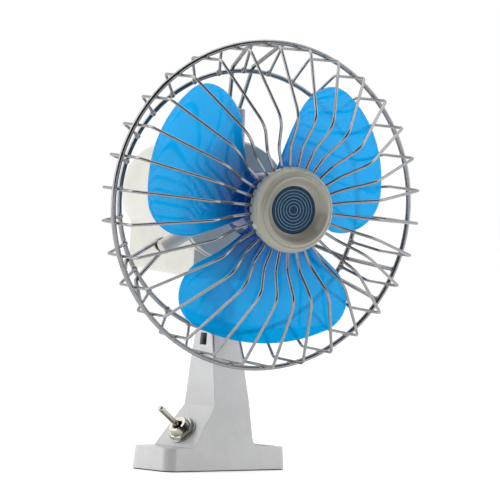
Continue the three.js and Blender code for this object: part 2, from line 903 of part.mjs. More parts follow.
add( head, 'motor_housing', cut(
	joined(
		cut(
			joined( housingSkin( 0, housingRear, housingFront ), blockSkin( 0, blockRear, blockFront ) ),
			housingSkin( housingWall, housingRear + housingWall, housingFront + 1 ),
			blockSkin( housingWall, blockRear + housingWall, blockFront - housingWall ),
		),
		housingSkin( 0, housingRear, housingFront ).intersect( tube( canBossRadius + gap, 9, housingRear + 1, canBossRear + 4, 24 ) ),
		housingSkin( 0, housingRear, housingFront ).intersect( joined( ...around( 3, screwPhase, () => housingBoss ) ) ),
		tongue,
	),
	...around( 3, screwPhase, () => housingBossHole ),
	...around( ventCount, 22.5, () => vent ),
	moved( disc( tiltBoltRadius + gap, - tiltBoreHalf, tiltBoreHalf, 16 ).rotate( [ 0, 90, 0 ] ), 0, - axisRise, - ringReach ),
), housingPlastic );

// ---------------------------------------------------------------- front bell

const armCentre = bellLow + bellArmRadius;
const arm = moved(
	turned( [
		[ 0, 0 ], [ bellArmRadius, 0 ], [ bellArmRadius, bellArmReach - bellArmStart - 1 ],
		[ bellArmRadius - 1, bellArmReach - bellArmStart ], [ 0, bellArmReach - bellArmStart ],
	], 12 ).rotate( [ 0, 90, 0 ] ), bellArmStart, 0, armCentre,
);
const stayPlane = armCentre - bellArmRadius - gap - stayRadius;
const bearingFrontRear = bellLow + 0.8;

add( head, 'front_bell', cut(
	joined(
		turned( [
			[ 0, bellLow ], [ housingFrontRadius - 0.6, bellLow ], [ housingFrontRadius - 0.6, bellHigh - 1.2 ],
			[ housingFrontRadius - 1.8, bellHigh ], [ bellBossRadius + 2, bellHigh ],
			[ bellBossRadius, bellHigh + 1.5 ], [ bellBossRadius - 0.8, bellBossReach ], [ 0, bellBossReach ],
		], 28 ),
		...around( 3, armPhase, () => arm ),
	),
	disc( bearingOuter + gap, bearingFrontRear - gap, bellBossReach + 1, 16 ),
	disc( shaftRadius + gap + 0.5, bellLow - 1, bellBossReach, 16 ),
	...around( 3, screwPhase, () => moved( disc( bellScrewRadius + gap, bellLow - 1, bellHigh + 1, 8 ), bellScrewCircle, 0, 0 ) ),
	...around( 3, armPhase, () => moved( disc( stayScrewRadius + gap, bellLow - 1, armCentre + 1 + gap, 8 ), stayScrewCircle, 0, 0 ) ),
), housingPlastic );

around( 3, screwPhase, () => moved( screw( bellScrewHead, 2, bellScrewRadius, bellScrewLength + bellThick ), bellScrewCircle, 0, bellHigh + gap ) )
	.forEach( ( shape, i ) => add( head, `bell_screw_${ i + 1 }`, shape, brightNickel ) );

// ---------------------------------------------------------------- motor

add( head, 'motor_can', turned( [
	[ canRadius, canFront - gap ],
	[ canRadius, canRear + 2 ],
	[ canRadius - 2, canRear ],
	[ canBossRadius, canRear ],
	[ canBossRadius, canBossRear ],
	[ 0, canBossRear ],
	[ 0, canBossRear + 1 ],
	[ bearingOuter + gap, canBossRear + 1 ],
	[ bearingOuter + gap, canRear + canWall ],
	[ canRadius - canWall, canRear + canWall ],
	[ canRadius - canWall, canFront - gap ],
	[ canRadius, canFront - gap ],
], 24 ), plainSteel );

const bearing = ( low, length ) => tube( shaftRadius + 0.1, bearingOuter, low, low + length, 16 );
add( head, 'bearing_front', bearing( bearingFrontRear, bearingFrontLength ), bronze );
add( head, 'bearing_rear', bearing( canBossRear + 1 + gap, bearingRearLength ), bronze );

const magnetOuter = canRadius - canWall - gap;
const magnetInner = magnetOuter - magnetThick;
const motorMiddle = canFront - canLength / 2 + 1;
const magnet = ( () => {

	const points = [];
	const steps = 8;
	for ( let i = 0; i <= steps; i ++ ) {

		const angle = rad( magnetSpan * ( i / steps - 0.5 ) );
		points.push( new THREE.Vector2( magnetOuter * Math.cos( angle ), magnetOuter * Math.sin( angle ) ) );

	}

	for ( let i = steps; i >= 0; i -- ) {

		const angle = rad( magnetSpan * ( i / steps - 0.5 ) );
		points.push( new THREE.Vector2( magnetInner * Math.cos( angle ), magnetInner * Math.sin( angle ) ) );

	}

	return outline( points, motorMiddle - magnetLength / 2, motorMiddle + magnetLength / 2 );

} )();
around( 2, 0, () => magnet ).forEach( ( shape, i ) => add( head, `motor_magnet_${ i + 1 }`, shape, ferrite ) );

const brushPlateLow = canRear + canWall + gap;
const brushPlateHigh = brushPlateLow + brushPlateThick;
add( head, 'brush_plate', tube( bearingOuter + 1.5, magnetOuter, brushPlateLow, brushPlateHigh, 20 ), darkPlastic );
around( 2, 90, () => box(
	brush.length, brush.width, brush.height,
	[ commutatorRadius + gap + brush.length / 2, 0, brushPlateHigh + gap + brush.height / 2 ],
) ).forEach( ( shape, i ) => add( head, `brush_${ i + 1 }`, shape, ferrite ) );

// ---------------------------------------------------------------- rotor

const rotor = new THREE.Group();
head.add( rotor );

const shaftRear = canBossRear + 1 + gap;
const hubNutLow = hubFront + gap;
const shaftFront = hubNutLow + hubNutHeight + 1.5;
add( rotor, 'motor_shaft', turned( [
	[ 0, shaftRear ], [ shaftRadius - 0.4, shaftRear ], [ shaftRadius, shaftRear + 0.4 ],
	[ shaftRadius, shaftFront - 0.8 ], [ shaftRadius - 0.8, shaftFront ], [ 0, shaftFront ],
], 16 ), plainSteel );

const coreRadius = magnetInner - coreAirGap;
const coreShape = ( () => {

	const points = [];
	const slotOuter = 7; // half opening of each slot, degrees
	const pitch = 360 / corePoles;
	const put = ( r, angle ) => points.push( new THREE.Vector2( r * Math.cos( rad( angle ) ), r * Math.sin( rad( angle ) ) ) );
	for ( let k = 0; k < corePoles; k ++ ) {

		const middle = k * pitch;
		for ( let i = - 2; i <= 2; i ++ ) put( coreRadius, middle + i * ( pitch / 2 - slotOuter ) / 2 );
		put( coreRadius - 2.5, middle + pitch / 2 - slotOuter );
		put( coreRadius - 4, middle + 16 );
		put( coreRadius - 8.5, middle + 27 );
		put( coreRadius - 8.5, middle + pitch - 27 );
		put( coreRadius - 4, middle + pitch - 16 );
		put( coreRadius - 2.5, middle + pitch / 2 + slotOuter );

	}

	return points;

} )();
const coreLow = motorMiddle - coreLength / 2;
const coreHigh = motorMiddle + coreLength / 2;
const shaftHole = ( low, high ) => disc( shaftRadius + gap, low - 1, high + 1, 16 );
add( rotor, 'armature_core', cut( outline( coreShape, coreLow, coreHigh ), shaftHole( coreLow, coreHigh ) ), plainSteel );
const winding = ( low ) => turned( [
	[ shaftRadius + gap, low + 1 ], [ coreRadius - 6, low ], [ coreRadius - 3, low + 1.5 ],
	[ coreRadius - 3, low + windingLength - 1 ], [ coreRadius - 5, low + windingLength ],
	[ shaftRadius + gap, low + windingLength ], [ shaftRadius + gap, low + 1 ],
], 16 );
add( rotor, 'winding_front', winding( coreHigh + gap ), copper );
add( rotor, 'winding_rear', winding( coreLow - gap - windingLength ), copper );
const commutatorHigh = coreLow - gap * 2 - windingLength;
add( rotor, 'commutator', tube( shaftRadius + gap, commutatorRadius, commutatorHigh - commutatorLength, commutatorHigh, 16 ), copper );

// ---------------------------------------------------------------- blades

function bladeGrowth( r, root, wide ) {

	return THREE.MathUtils.lerp( root, wide, Math.min( ( r - bladeRoot ) / ( bladeWideRadius - bladeRoot ), 1 ) );

}

function bladeHalfAngle( r ) {

	const full = bladeGrowth( r, bladeHalfRoot, bladeHalfWide );
	const into = r - bladeWideRadius;
	if ( into <= 0 ) return full;
	const taken = bladeCorner - Math.sqrt( Math.max( bladeCorner ** 2 - into ** 2, 0 ) );
	return full - THREE.MathUtils.radToDeg( taken / r );

}

function bladeSolid() {

	const radii = [
		bladeRoot, ( bladeRoot + bladeWideRadius ) / 2,
		...[ 1, 0.7, 0.42, 0.2, 0.06, 0 ].map( ( share ) => bladeRadius - bladeCorner * share ),
	];
	const across = 8;
	const rings = radii.map( ( r ) => {

		const half = bladeHalfAngle( r );
		const rise = THREE.MathUtils.mapLinear( r, bladeRoot, bladeRadius, bladePitchRoot, bladePitchTip );
		const at = ( i, lift ) => {

			const share = 2 * i / across - 1;
			const angle = rad( half * share + bladeGrowth( r, bladeSweepRoot, bladeSweepWide ) );
			const z = bladeMiddle + rise * share * half / bladeHalfWide + lift;
			return new THREE.Vector3( r * Math.cos( angle ), r * Math.sin( angle ), z );

		};

		const ring = [];
		for ( let i = 0; i <= across; i ++ ) ring.push( at( i, bladeThick / 2 ) );
		for ( let i = across; i >= 0; i -- ) ring.push( at( i, - bladeThick / 2 ) );
		return ring;

	} );
	return bentSkin( rings, across );

}

// like skin, for a thin bent section: each end is closed strip by strip
function bentSkin( rings, across ) {

	const count = rings[ 0 ].length;
	const place = rings.flat().flatMap( ( p ) => p.toArray() );
	const index = [];
	for ( let r = 0; r < rings.length - 1; r ++ ) {

		for ( let i = 0; i < count; i ++ ) {

			const a = r * count + i;
			const b = r * count + ( i + 1 ) % count;
			index.push( a, b, b + count, a, b + count, a + count );

		}

	}

	const last = ( rings.length - 1 ) * count;
	for ( let i = 0; i < across; i ++ ) {

		const far = count - 1 - i;
		index.push( 0 + i, far, i + 1, i + 1, far, far - 1 );
		index.push( last + i, last + i + 1, last + far, last + i + 1, last + far - 1, last + far );

	}

	const geometry = new THREE.BufferGeometry();
	geometry.setAttribute( 'position', new THREE.Float32BufferAttribute( place, 3 ) );
	geometry.setIndex( index );
	return closed( geometry );

}

const hubCup = turned( [
	[ shaftRadius + gap, hubBossRear ],
	[ hubBossRadius, hubBossRear ],
	[ hubBossRadius, hubFront - hubWall ],
	[ hubRadius - hubWall - 1.5, hubFront - hubWall ],
	[ hubRadius - hubWall, hubFront - hubWall - 1.5 ],
	[ hubRadius - hubWall, hubRear ],
	[ hubRadius, hubRear ],
	[ hubRadius, hubFront - 3 ],
	[ hubRadius - 0.9, hubFront - 0.9 ],
	[ hubRadius - 3, hubFront ],
	[ shaftRadius + gap, hubFront ],
	[ shaftRadius + gap, hubBossRear ],
], 28 );
add( rotor, 'fan_blades', joined( hubCup, ...around( bladeCount, bladePhase, () => bladeSolid() ) ), bladeBlue );
add( rotor, 'hub_nut', cut( hexagon( hubNutFlats, hubNutLow, hubNutLow + hubNutHeight ), shaftHole( hubFront, shaftFront ) ), brightNickel );

// ---------------------------------------------------------------- guard

const wirePath = rounded( [
	[ hubRingRadius, wireHubPlace ],
	[ wireDishRadius, wireDishPlace, wireDishBend, 1 ],
	[ kneeRadius, kneePlace, kneeBend, 2 ],
	[ wallRadius, frontCornerPlace, frontCornerBend, 2 ],
	[ wallRadius, rearCornerPlace, rearCornerBend, 2 ],
	[ rearRingRadius - 0.4, rearRingPlace + rearRingWire ],
] ).map( ( p ) => new THREE.Vector3( p.x, 0, p.y ) );

const ringOf = ( radius, section, place, steps, sides = 5 ) => {

	return closed( new THREE.TorusGeometry( radius, section, sides, steps ).translate( 0, 0, place ) );

};

const onCircle = ( r, angle, z ) => new THREE.Vector3( r * Math.cos( rad( angle ) ), r * Math.sin( rad( angle ) ), z );

// a stay: one heavy wire bent round its screw, both strands running out to the outer ring
function stay() {

	const rearPlace = rearRingPlace - rearRingWire - stayRadius + 0.4;
	const strand = ( side ) => [
		onCircle( outerRingRadius - 0.6, side * staySpread, - ringRadius ),
		onCircle( rearRingRadius + 2, side * ( staySpreadRear + 0.2 ), rearPlace + 1.5 ),
		onCircle( rearRingRadius - 1, side * staySpreadRear, rearPlace ),
		new THREE.Vector3( stayScrewCircle + 1, side * stayEye, stayPlane ),
	];
	const bend = [ 120, 160, 200, 240 ].map( ( angle ) => new THREE.Vector3(
		stayScrewCircle + stayEye * Math.cos( rad( angle ) ), stayEye * Math.sin( rad( angle ) ), stayPlane,
	) );
	return wire( [ ...strand( 1 ), ...bend, ...strand( - 1 ).reverse() ], stayRadius );

}

add( head, 'guard_cage', joined(
	ringOf( outerRingRadius, ringRadius, 0, 48 ),
	ringOf( rearRingRadius, rearRingWire, rearRingPlace, 48 ),
	ringOf( hubRingRadius, wireRadius, wireHubPlace, 30, 4 ),
	...around( wireCount, 180 / wireCount + guardTurn, () => wire( wirePath, wireRadius ) ),
	...around( 3, armPhase, () => stay() ),
), dullWire );

const staySeat = stayPlane - stayRadius - gap;
around( 3, armPhase, () => moved(
	screw( stayScrewHead, 2.2, stayScrewRadius, armCentre + 1 - staySeat ).rotate( [ 180, 0, 0 ] ), stayScrewCircle, 0, staySeat,
) )
	.forEach( ( shape, i ) => add( head, `stay_screw_${ i + 1 }`, shape, brightNickel ) );

// ---------------------------------------------------------------- bezel

const bezelRear = wireHubPlace + wireRadius + gap;
const bezelRim = bezelRear + bezelDepth;
const badgeFront = bezelRim - badgeDepth;
const badgeSeat = badgeFront - badgeThick - gap;
const floorRear = badgeSeat - bezelFloor;
const clampFront = wireHubPlace - wireRadius - gap;
const bossRear = clampFront + gap;

add( head, 'bezel', turned( [
	[ 0, badgeSeat ],
	[ badgeRadius + gap, badgeSeat ],
	[ badgeRadius + gap, badgeFront ],
	[ bezelRimRadius - 0.6, bezelRim - 0.5 ],
	[ bezelRimRadius + 0.4, bezelRim ],
	[ bezelRadius - 3.2, bezelRim - 0.6 ],
	[ bezelRadius - 1.2, bezelRim - 2.1 ],
	[ bezelRadius - 0.3, bezelRim - 4 ],
	[ bezelRadius, bezelRim - 6 ],
	[ bezelRadius, bezelRear ],
	[ bezelRadius - 2, bezelRear ],
	[ bezelRadius - 2.4, floorRear + 1.6 ],
	[ bezelRadius - 5, floorRear ],
	[ bezelBossRadius, floorRear ],
	[ bezelBossRadius, bossRear ],
	[ bezelScrewRadius + gap, bossRear ],
	[ bezelScrewRadius + gap, floorRear + 0.8 ],
	[ 0, floorRear + 0.8 ],
], 30 ), bezelPlastic );

add( head, 'badge', disc( badgeRadius, badgeSeat + gap, badgeFront, 32 ), badgeBlue );
add( head, 'bezel_clamp', tube( bezelScrewRadius + gap, clampRadius, clampFront - clampThick, clampFront, 28 ), bezelPlastic );
const clampScrewSeat = clampFront - clampThick - gap;
add( head, 'bezel_screw', moved(
	screw( 3, 1.8, bezelScrewRadius, floorRear - clampScrewSeat ).rotate( [ 180, 0, 0 ] ), 0, 0, clampScrewSeat,
), brightNickel );

export default fan;
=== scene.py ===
"""Small desk fan: a motor head with three translucent blades in a wire guard, carried by a
swivel and tilt neck on a moulded stand with a toggle switch. Metres, +Z up, in the frame
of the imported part. The file follows the fan as it is put together, from the foot up."""

import json
import math

import bmesh
import bpy
from mathutils import Matrix, Vector

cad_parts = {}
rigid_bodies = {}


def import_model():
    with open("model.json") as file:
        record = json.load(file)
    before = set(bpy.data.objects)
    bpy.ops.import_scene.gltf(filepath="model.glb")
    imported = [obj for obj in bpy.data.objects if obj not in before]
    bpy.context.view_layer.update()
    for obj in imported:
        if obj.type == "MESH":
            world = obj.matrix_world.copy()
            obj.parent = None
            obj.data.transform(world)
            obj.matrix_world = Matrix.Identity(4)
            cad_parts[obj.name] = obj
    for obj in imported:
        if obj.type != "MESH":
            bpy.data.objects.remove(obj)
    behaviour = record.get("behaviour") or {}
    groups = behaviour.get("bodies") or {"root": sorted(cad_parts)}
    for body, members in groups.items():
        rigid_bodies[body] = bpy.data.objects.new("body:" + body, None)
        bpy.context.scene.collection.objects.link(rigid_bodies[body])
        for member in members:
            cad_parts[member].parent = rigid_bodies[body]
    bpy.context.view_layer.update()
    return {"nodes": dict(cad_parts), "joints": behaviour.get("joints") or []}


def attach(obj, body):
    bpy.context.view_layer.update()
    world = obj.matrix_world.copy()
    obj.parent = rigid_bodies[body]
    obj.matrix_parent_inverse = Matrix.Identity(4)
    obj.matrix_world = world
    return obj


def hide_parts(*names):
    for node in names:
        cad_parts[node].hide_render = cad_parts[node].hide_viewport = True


bpy.ops.object.select_all(action="SELECT")
bpy.ops.object.delete()
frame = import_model()


# ---------------------------------------------------------------- camera
# The fan was photographed from far back with a long lens, just above the level of its neck,
# from its switch side, and the picture leans a little to the right.

mm = 0.001
photo_px = 500  # the photograph's width and height
focal_px = 3993.0  # the lens, in the photograph's pixels
camera_distance = 2250 * mm
nearest_seen, farthest_seen = 0.1, 60
camera_turn = math.radians(-45.5)
camera_rise = math.radians(0.72)
camera_lean = math.radians(2.60)
aim_right, aim_up = 17.65 * mm, 124.39 * mm

backward = Vector((
    math.sin(camera_turn) * math.cos(camera_rise),
    -math.cos(camera_turn) * math.cos(camera_rise),
    math.sin(camera_rise),
))
level = Vector((math.cos(camera_turn), math.sin(camera_turn), 0))
upright = backward.cross(level)
camera_x = level * math.cos(camera_lean) + upright * math.sin(camera_lean)
camera_y = upright * math.cos(camera_lean) - level * math.sin(camera_lean)
bpy.ops.object.camera_add(
    location=level * aim_right + Vector((0, 0, aim_up)) + backward * camera_distance,
    rotation=Matrix((camera_x, camera_y, backward)).transposed().to_euler(),
)
camera = bpy.context.object
camera.data.lens = focal_px / photo_px * camera.data.sensor_width
camera.data.clip_start, camera.data.clip_end = nearest_seen, farthest_seen
bpy.context.scene.camera = camera


# ---------------------------------------------------------------- floor and light
# A plain white table in a white studio. The side behind the camera is darker, as a studio
# is, so that the plated wires get bright edges and a dark core. The camera sees only white.

class Shade:
    """One value in a node tree: Python's operators on it add Math nodes."""

    def __init__(self, nodes, socket):
        self.nodes, self.socket = nodes, socket

    def math(self, operation, a, b):
        return self.nodes.node("Math", {"operation": operation}, {0: a, 1: b})

    def __add__(self, other): return self.math("ADD", self, other)
    def __radd__(self, other): return self.math("ADD", other, self)
    def __sub__(self, other): return self.math("SUBTRACT", self, other)
    def __rsub__(self, other): return self.math("SUBTRACT", other, self)
    def __mul__(self, other): return self.math("MULTIPLY", self, other)
    def __rmul__(self, other): return self.math("MULTIPLY", other, self)


class Nodes:
    """The nodes of a material or of the studio round the fan."""

    def __init__(self, owner):
        owner.use_nodes = True
        self.tree = owner.node_tree

    def node(self, kind, settings={}, sockets={}, output=0):
        """Adds a node of a kind: its settings first, then the values or links of its sockets."""
        made = self.tree.nodes.new("ShaderNode" + kind)
        for key, value in settings.items():
            setattr(made, key, value)
        for key, value in sockets.items():
            self.plug(value, made.inputs[key])
        return Shade(self, made.outputs[output])

    def plug(self, value, socket):
        if isinstance(value, Shade):
            self.tree.links.new(value.socket, socket)
        elif socket.type == "RGBA" and len(value) == 3:
            socket.default_value = (*value, 1)
        else:
            socket.default_value = value

    def ramp(self, value, low, high, to_low=0.0, to_high=1.0):
        """value from low to high becomes to_low to to_high, eased and kept in that range."""
        return self.node("MapRange", {"interpolation_type": "SMOOTHSTEP"}, {
            "Value": value, "From Min": low, "From Max": high, "To Min": to_low, "To Max": to_high,
        })


class Finish(Nodes):
    """A material round one Principled shader, with a few ways to vary it."""

    def __init__(self, name, colour, **constants):
        self.material = bpy.data.materials.new(name)
        super().__init__(self.material)
        self.shader = self.tree.nodes["Principled BSDF"]
        self.shader.inputs["Base Color"].default_value = (*colour, 1)
        for socket, value in constants.items():
            self.shader.inputs[socket.replace("_", " ")].default_value = value

    def feed(self, socket, value):
        self.plug(value, self.shader.inputs[socket])

    def place(self, stretch=(1, 1, 1)):
        """The piece's own coordinates, drawn out along its axes."""
        here = self.node("TexCoord", output=3)
        return self.node("Mapping", {"vector_type": "TEXTURE"}, {"Vector": here, "Scale": stretch})

    def noise(self, where, scale, detail=3.0, rough=0.5):
        return self.node("TexNoise", sockets={
            "Vector": where, "Scale": scale, "Detail": detail, "Roughness": rough,
        })

    def mix(self, share, first, second):
        return self.node("Mix", {"data_type": "RGBA"}, {0: share, 6: first, 7: second}, output=2)

    def bump(self, height, depth):
        self.feed("Normal", self.node("Bump", sockets={"Height": height, "Distance": depth}))


floor_size, floor_drop = 24, 0.1 * mm
bpy.ops.mesh.primitive_plane_add(size=floor_size, location=(0, 0, -floor_drop))
table = bpy.context.object
table.name = "table"
white = Finish("table_white", (0.62, 0.62, 0.62), Emission_Color=(1, 1, 1, 1), Emission_Strength=0.54)
grain = white.noise(white.place(), 90, 2.0)
white.feed("Roughness", white.ramp(grain, 0.3, 0.7, 0.55, 0.68))
table.data.materials.append(white.material)

studio_white, studio_dim = 1.0, 0.04
dim_from, dim_full, studio_tip = -0.05, 0.5, 0.1  # where the studio darkens towards the camera
studio = bpy.data.worlds.new("studio")
sky = Nodes(studio)
background = sky.tree.nodes["Background"]
background.inputs["Color"].default_value = (1, 1, 1, 1)
bpy.context.scene.world = studio
bpy.context.scene.view_settings.view_transform = "Standard"
facing = sky.node("VectorMath", {"operation": "DOT_PRODUCT"}, {
    0: sky.node("TexCoord"), 1: (backward.x, backward.y, studio_tip),
}, output=1)
lighting = sky.ramp(facing, dim_from, dim_full, studio_white, studio_dim)
seen_white = sky.node("MapRange", {}, {
    "Value": sky.node("LightPath"), "To Min": lighting, "To Max": studio_white,
})
sky.plug(seen_white, background.inputs["Strength"])


fan_middle = Vector((0, -0.03, 0.12))


def softbox(name, position, size, power):
    """A soft square light at a place, turned to the fan's middle."""
    bpy.ops.object.light_add(type="AREA", location=position)
    lamp = bpy.context.object
    lamp.name = name
    lamp.data.size, lamp.data.energy = size, power
    lamp.rotation_euler = (fan_middle - Vector(position)).to_track_quat("-Z", "Y").to_euler()
    lamp.visible_camera = False


softbox("left_light", (-1.1, 0.85, 0.8), size=1.8, power=18)
softbox("right_light", (1.05, -1.15, 0.8), size=1.8, power=9.5)
softbox("top_light", (0.1, 0.2, 1.7), size=1.6, power=9)


# ---------------------------------------------------------------- base plate
# A black plate that closes the hollow foot from below, pressed out of sheet and held by two
# countersunk screws. Only its edge shows, as a thin dark line under the foot.

foot_length, foot_width, foot_corner = 95.5 * mm, 33.2 * mm, 6.5 * mm
plate_thick, plate_rim, plate_edge = 0.45 * mm, 0.7 * mm, 0.12 * mm
step_low, step_high, step_inset = 0.2 * mm, 2.25 * mm, 2.7 * mm  # the part that fits in the foot
base_screw_x = 37.5


def moved(x=0, y=0, z=0):
    """A place that lies so many millimetres away."""
    return Matrix.Translation((x * mm, y * mm, z * mm))


def turned(degrees, axis="Z"):
    return Matrix.Rotation(math.radians(degrees), 4, axis)


def pick(kind, test):
    """Selects those verts, edges or faces of the mesh being edited that pass a test."""
    bpy.ops.mesh.select_mode(type={"verts": "VERT", "edges": "EDGE", "faces": "FACE"}[kind])
    bpy.ops.mesh.select_all(action="DESELECT")
    mesh = bmesh.from_edit_mesh(bpy.context.object.data)
    for part in getattr(mesh, kind):
        if test(part):
            part.select_set(True)
    mesh.select_flush_mode()
    bmesh.update_edit_mesh(bpy.context.object.data)


def middle(part):
    """The middle of an edge or face."""
    return sum((v.co for v in part.verts), Vector()) / len(part.verts)


def reach(edge, axis):
    """How far an edge goes along an axis."""
    return abs(edge.verts[0].co[axis] - edge.verts[1].co[axis])


def begin(name):
    """Names the mesh just added and starts its shaping, with all of it selected."""
    piece = bpy.context.object
    piece.name = piece.data.name = name
    bpy.ops.object.mode_set(mode="EDIT")
    bpy.ops.mesh.select_all(action="SELECT")
    return piece


def end():
    """Ends the shaping of a piece, and gives the piece."""
    bpy.ops.object.mode_set(mode="OBJECT")
    return bpy.context.object


def soften(test, width, segments, **settings):
    """Rounds the picked edges of a piece, as the end of its shaping."""
    pick("edges", test)
    bpy.ops.mesh.bevel(offset=width, segments=segments, affect="EDGES", **settings)
    return end()


def alone(piece):
    bpy.ops.object.select_all(action="DESELECT")
    piece.select_set(True)
    bpy.context.view_layer.objects.active = piece


def block(name, low, high):
    """A box between two corners, at the start of its shaping."""
    bpy.ops.mesh.primitive_cube_add(size=1)
    begin(name)
    low, high = Vector(low), Vector(high)
    bpy.ops.transform.resize(value=high - low)
    bpy.ops.transform.translate(value=(low + high) / 2)


def drawn(name, line, y=0):
    """A line through (x, z) corners in millimetres, drawn corner by corner from one point."""
    bpy.ops.mesh.primitive_plane_add(size=1 * mm)
    piece = begin(name)
    bpy.ops.mesh.select_mode(type="VERT")
    bpy.ops.mesh.merge(type="CENTER")
    here = Vector()
    for step, (x, z) in enumerate(line):
        there = Vector((x, y, z)) * mm
        if step == 0:
            bpy.ops.transform.translate(value=there)
        else:
            bpy.ops.mesh.extrude_vertices_move(TRANSFORM_OT_translate={"value": there - here})
        here = there
    bpy.ops.mesh.select_all(action="SELECT")
    return piece


def close(gap):
    """Joins corners that lie within a gap of each other, and turns all faces outward."""
    bpy.ops.mesh.select_all(action="SELECT")
    bpy.ops.mesh.remove_doubles(threshold=gap)
    bpy.ops.mesh.normals_make_consistent(inside=False)


def lathe(name, profile, sides):
    """A piece spun round Z from a line of (radius, height) corners, in millimetres."""
    drawn(name, profile)
    bpy.ops.mesh.spin(steps=sides, angle=2 * math.pi, center=(0, 0, 0), axis=(0, 0, 1))
    close(0.002 * mm)
    return end()


def slab(name, line, y, depth):
    """A flat piece: an outline in X and Z at a Y, filled and pulled out by a depth."""
    piece = drawn(name, line, y)
    bpy.ops.mesh.edge_face_add()
    bpy.ops.mesh.extrude_region_move(TRANSFORM_OT_translate={"value": (0, depth * mm, 0)})
    bpy.ops.mesh.select_all(action="SELECT")
    bpy.ops.mesh.normals_make_consistent(inside=False)
    return piece


def apply(piece, kind, **settings):
    """Adds a modifier to a piece and applies it."""
    alone(piece)
    bpy.ops.object.modifier_add(type=kind)
    modifier = piece.modifiers[-1]
    for key, value in settings.items():
        setattr(modifier, key, value)
    bpy.ops.object.modifier_apply(modifier=modifier.name)
    return piece


def carve(piece, tool, operation="DIFFERENCE"):
    """Cuts a tool out of a piece, or joins it on, and takes the tool away."""
    apply(piece, "BOOLEAN", operation=operation, solver="EXACT", object=tool)
    bpy.data.objects.remove(tool)
    return piece


def rounded(piece, width, segments=2, limit=30):
    """Breaks every edge that is sharper than the limit."""
    return apply(
        piece, "BEVEL", width=width, segments=segments, limit_method="ANGLE",
        angle_limit=math.radians(limit), harden_normals=False,
    )


def shaded(piece, limit=35, weighted=True):
    """Smooth shading that keeps flat faces flat and sharp edges sharp."""
    alone(piece)
    bpy.ops.object.shade_smooth_by_angle(angle=math.radians(limit))
    if weighted:
        apply(piece, "WEIGHTED_NORMAL", keep_sharp=True, weight=80)
    return piece


def settle(piece, place):
    """Sets a finished shape down at its place on the fan."""
    alone(piece)
    piece.matrix_world = place
    bpy.ops.object.transform_apply(location=True, rotation=True, scale=True)
    return piece


def twin(piece, name, place):
    """A copy with its own mesh, at another place."""
    alone(piece)
    bpy.ops.object.duplicate(linked=False)
    copy = bpy.context.object
    copy.name = copy.data.name = name
    return settle(copy, place)


def fit(piece, place, body, finish):
    """Sets a piece down in the moving fan, with its finish, for the node it is named after."""
    settle(piece, place)
    piece.data.materials.clear()
    piece.data.materials.append(finish.material)
    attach(piece, body)
    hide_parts(piece.name.replace("_dressed", ""))


def rounded_plate(name, inset, low, high):
    """A plate in the foot's outline, drawn in by an inset."""
    corner = Vector((foot_length / 2 - inset, foot_width / 2 - inset, 0))
    block(name, (*-corner.xy, low), (*corner.xy, high))
    return soften(lambda e: reach(e, 2) > 0.5 * (high - low), foot_corner - inset, 10)


plate = rounded_plate("base_plate_dressed", plate_rim, 0, plate_thick)
carve(plate, rounded_plate("step", step_inset, step_low, step_high), "UNION")
for side in (-1, 1):
    sink = lathe("sink", [(0, -1), (3.6, -1), (3.6, 0.1), (1.8, 1.9), (1.8, 4), (0, 4)], 32)
    carve(plate, settle(sink, moved(side * base_screw_x)))
rounded(plate, plate_edge)
shaded(plate)

black = Finish("plate_black", (0.018, 0.018, 0.019))
skin = black.noise(black.place(), 900, 4.0)
black.feed("Roughness", black.ramp(skin, 0.35, 0.65, 0.5, 0.75))
black.bump(skin, 0.06 * mm)
fit(plate, Matrix(), "stand", black)


def plated(name, colour, shine, dulling=0.08, brushing=0.02, pits=0.012):
    """Plated steel: a clear metal, a little uneven in tone and shine, with fine rubbed lines."""
    metal = Finish(name, colour, Metallic=1.0, Roughness=shine)
    where = metal.place()
    patches = metal.noise(where, 260, 4.0, 0.6)
    lines = metal.noise(metal.place(stretch=(1, 1, 0.12)), 2600, 2.0)
    metal.feed("Roughness", metal.ramp(patches, 0.3, 0.75, shine, shine + dulling) + lines * brushing)
    darker = tuple(0.8 * c for c in colour)
    metal.feed("Base Color", metal.mix(metal.ramp(patches, 0.45, 0.75), colour, darker))
    metal.bump(lines * 0.4 + patches, pits * mm)
    return metal


zinc = plated("zinc_plate", (0.52, 0.53, 0.54), 0.32)
screw_profile = [(0, 0.2), (3.1, 0.2), (3.1, 0.35), (1.5, 1.9), (1.5, 8.2), (0.9, 9), (0, 9)]
slot_half = 0.45 * mm
for index, side in enumerate((-1, 1)):
    screw = lathe(f"base_screw_dressed_{index + 1}", screw_profile, 28)
    block("slot", (-4 * mm, -slot_half, -1 * mm), (4 * mm, slot_half, 0.75 * mm))
    shaded(rounded(carve(screw, end()), 0.08 * mm))
    place = moved(side * base_screw_x) @ turned(20 + 50 * index)
    fit(screw, place, "stand", zinc)


# ---------------------------------------------------------------- stand
# One hollow moulding in satin light grey plastic: an oblong foot whose sides run up into a
# tapered column, with a sloping front for the switch and a small window near the top.

shell_low, foot_top, slope_top, column_top = 0.65, 13.2, 36.1, 82.0
wall, roof, knee = 2.0, 4.0, 64.0
# the column's front and rear, its half width and the foot's half length, by height
fronts = [(foot_top, -28.4), (slope_top, -9.6), (knee, -9.4), (column_top, -8.4)]
rears = [(foot_top, 19.2), (26, 18.5), (39, 17.9), (knee, 14.1), (column_top, 10.9)]
halves = [(shell_low, 16.52), (foot_top, 15.72), (39, 11.75), (knee, 8.65), (column_top, 5.9)]
half_lengths = [(shell_low, 47.67), (foot_top, 46.87)]
levels = [18, 22.5, 27, 31.5, slope_top, 42, 49, 56.5, knee, 70, 76]
rear_fillet, rear_fillet_steps = 5.6, 7
edge_round, sharp_from = 1.1 * mm, math.radians(25)


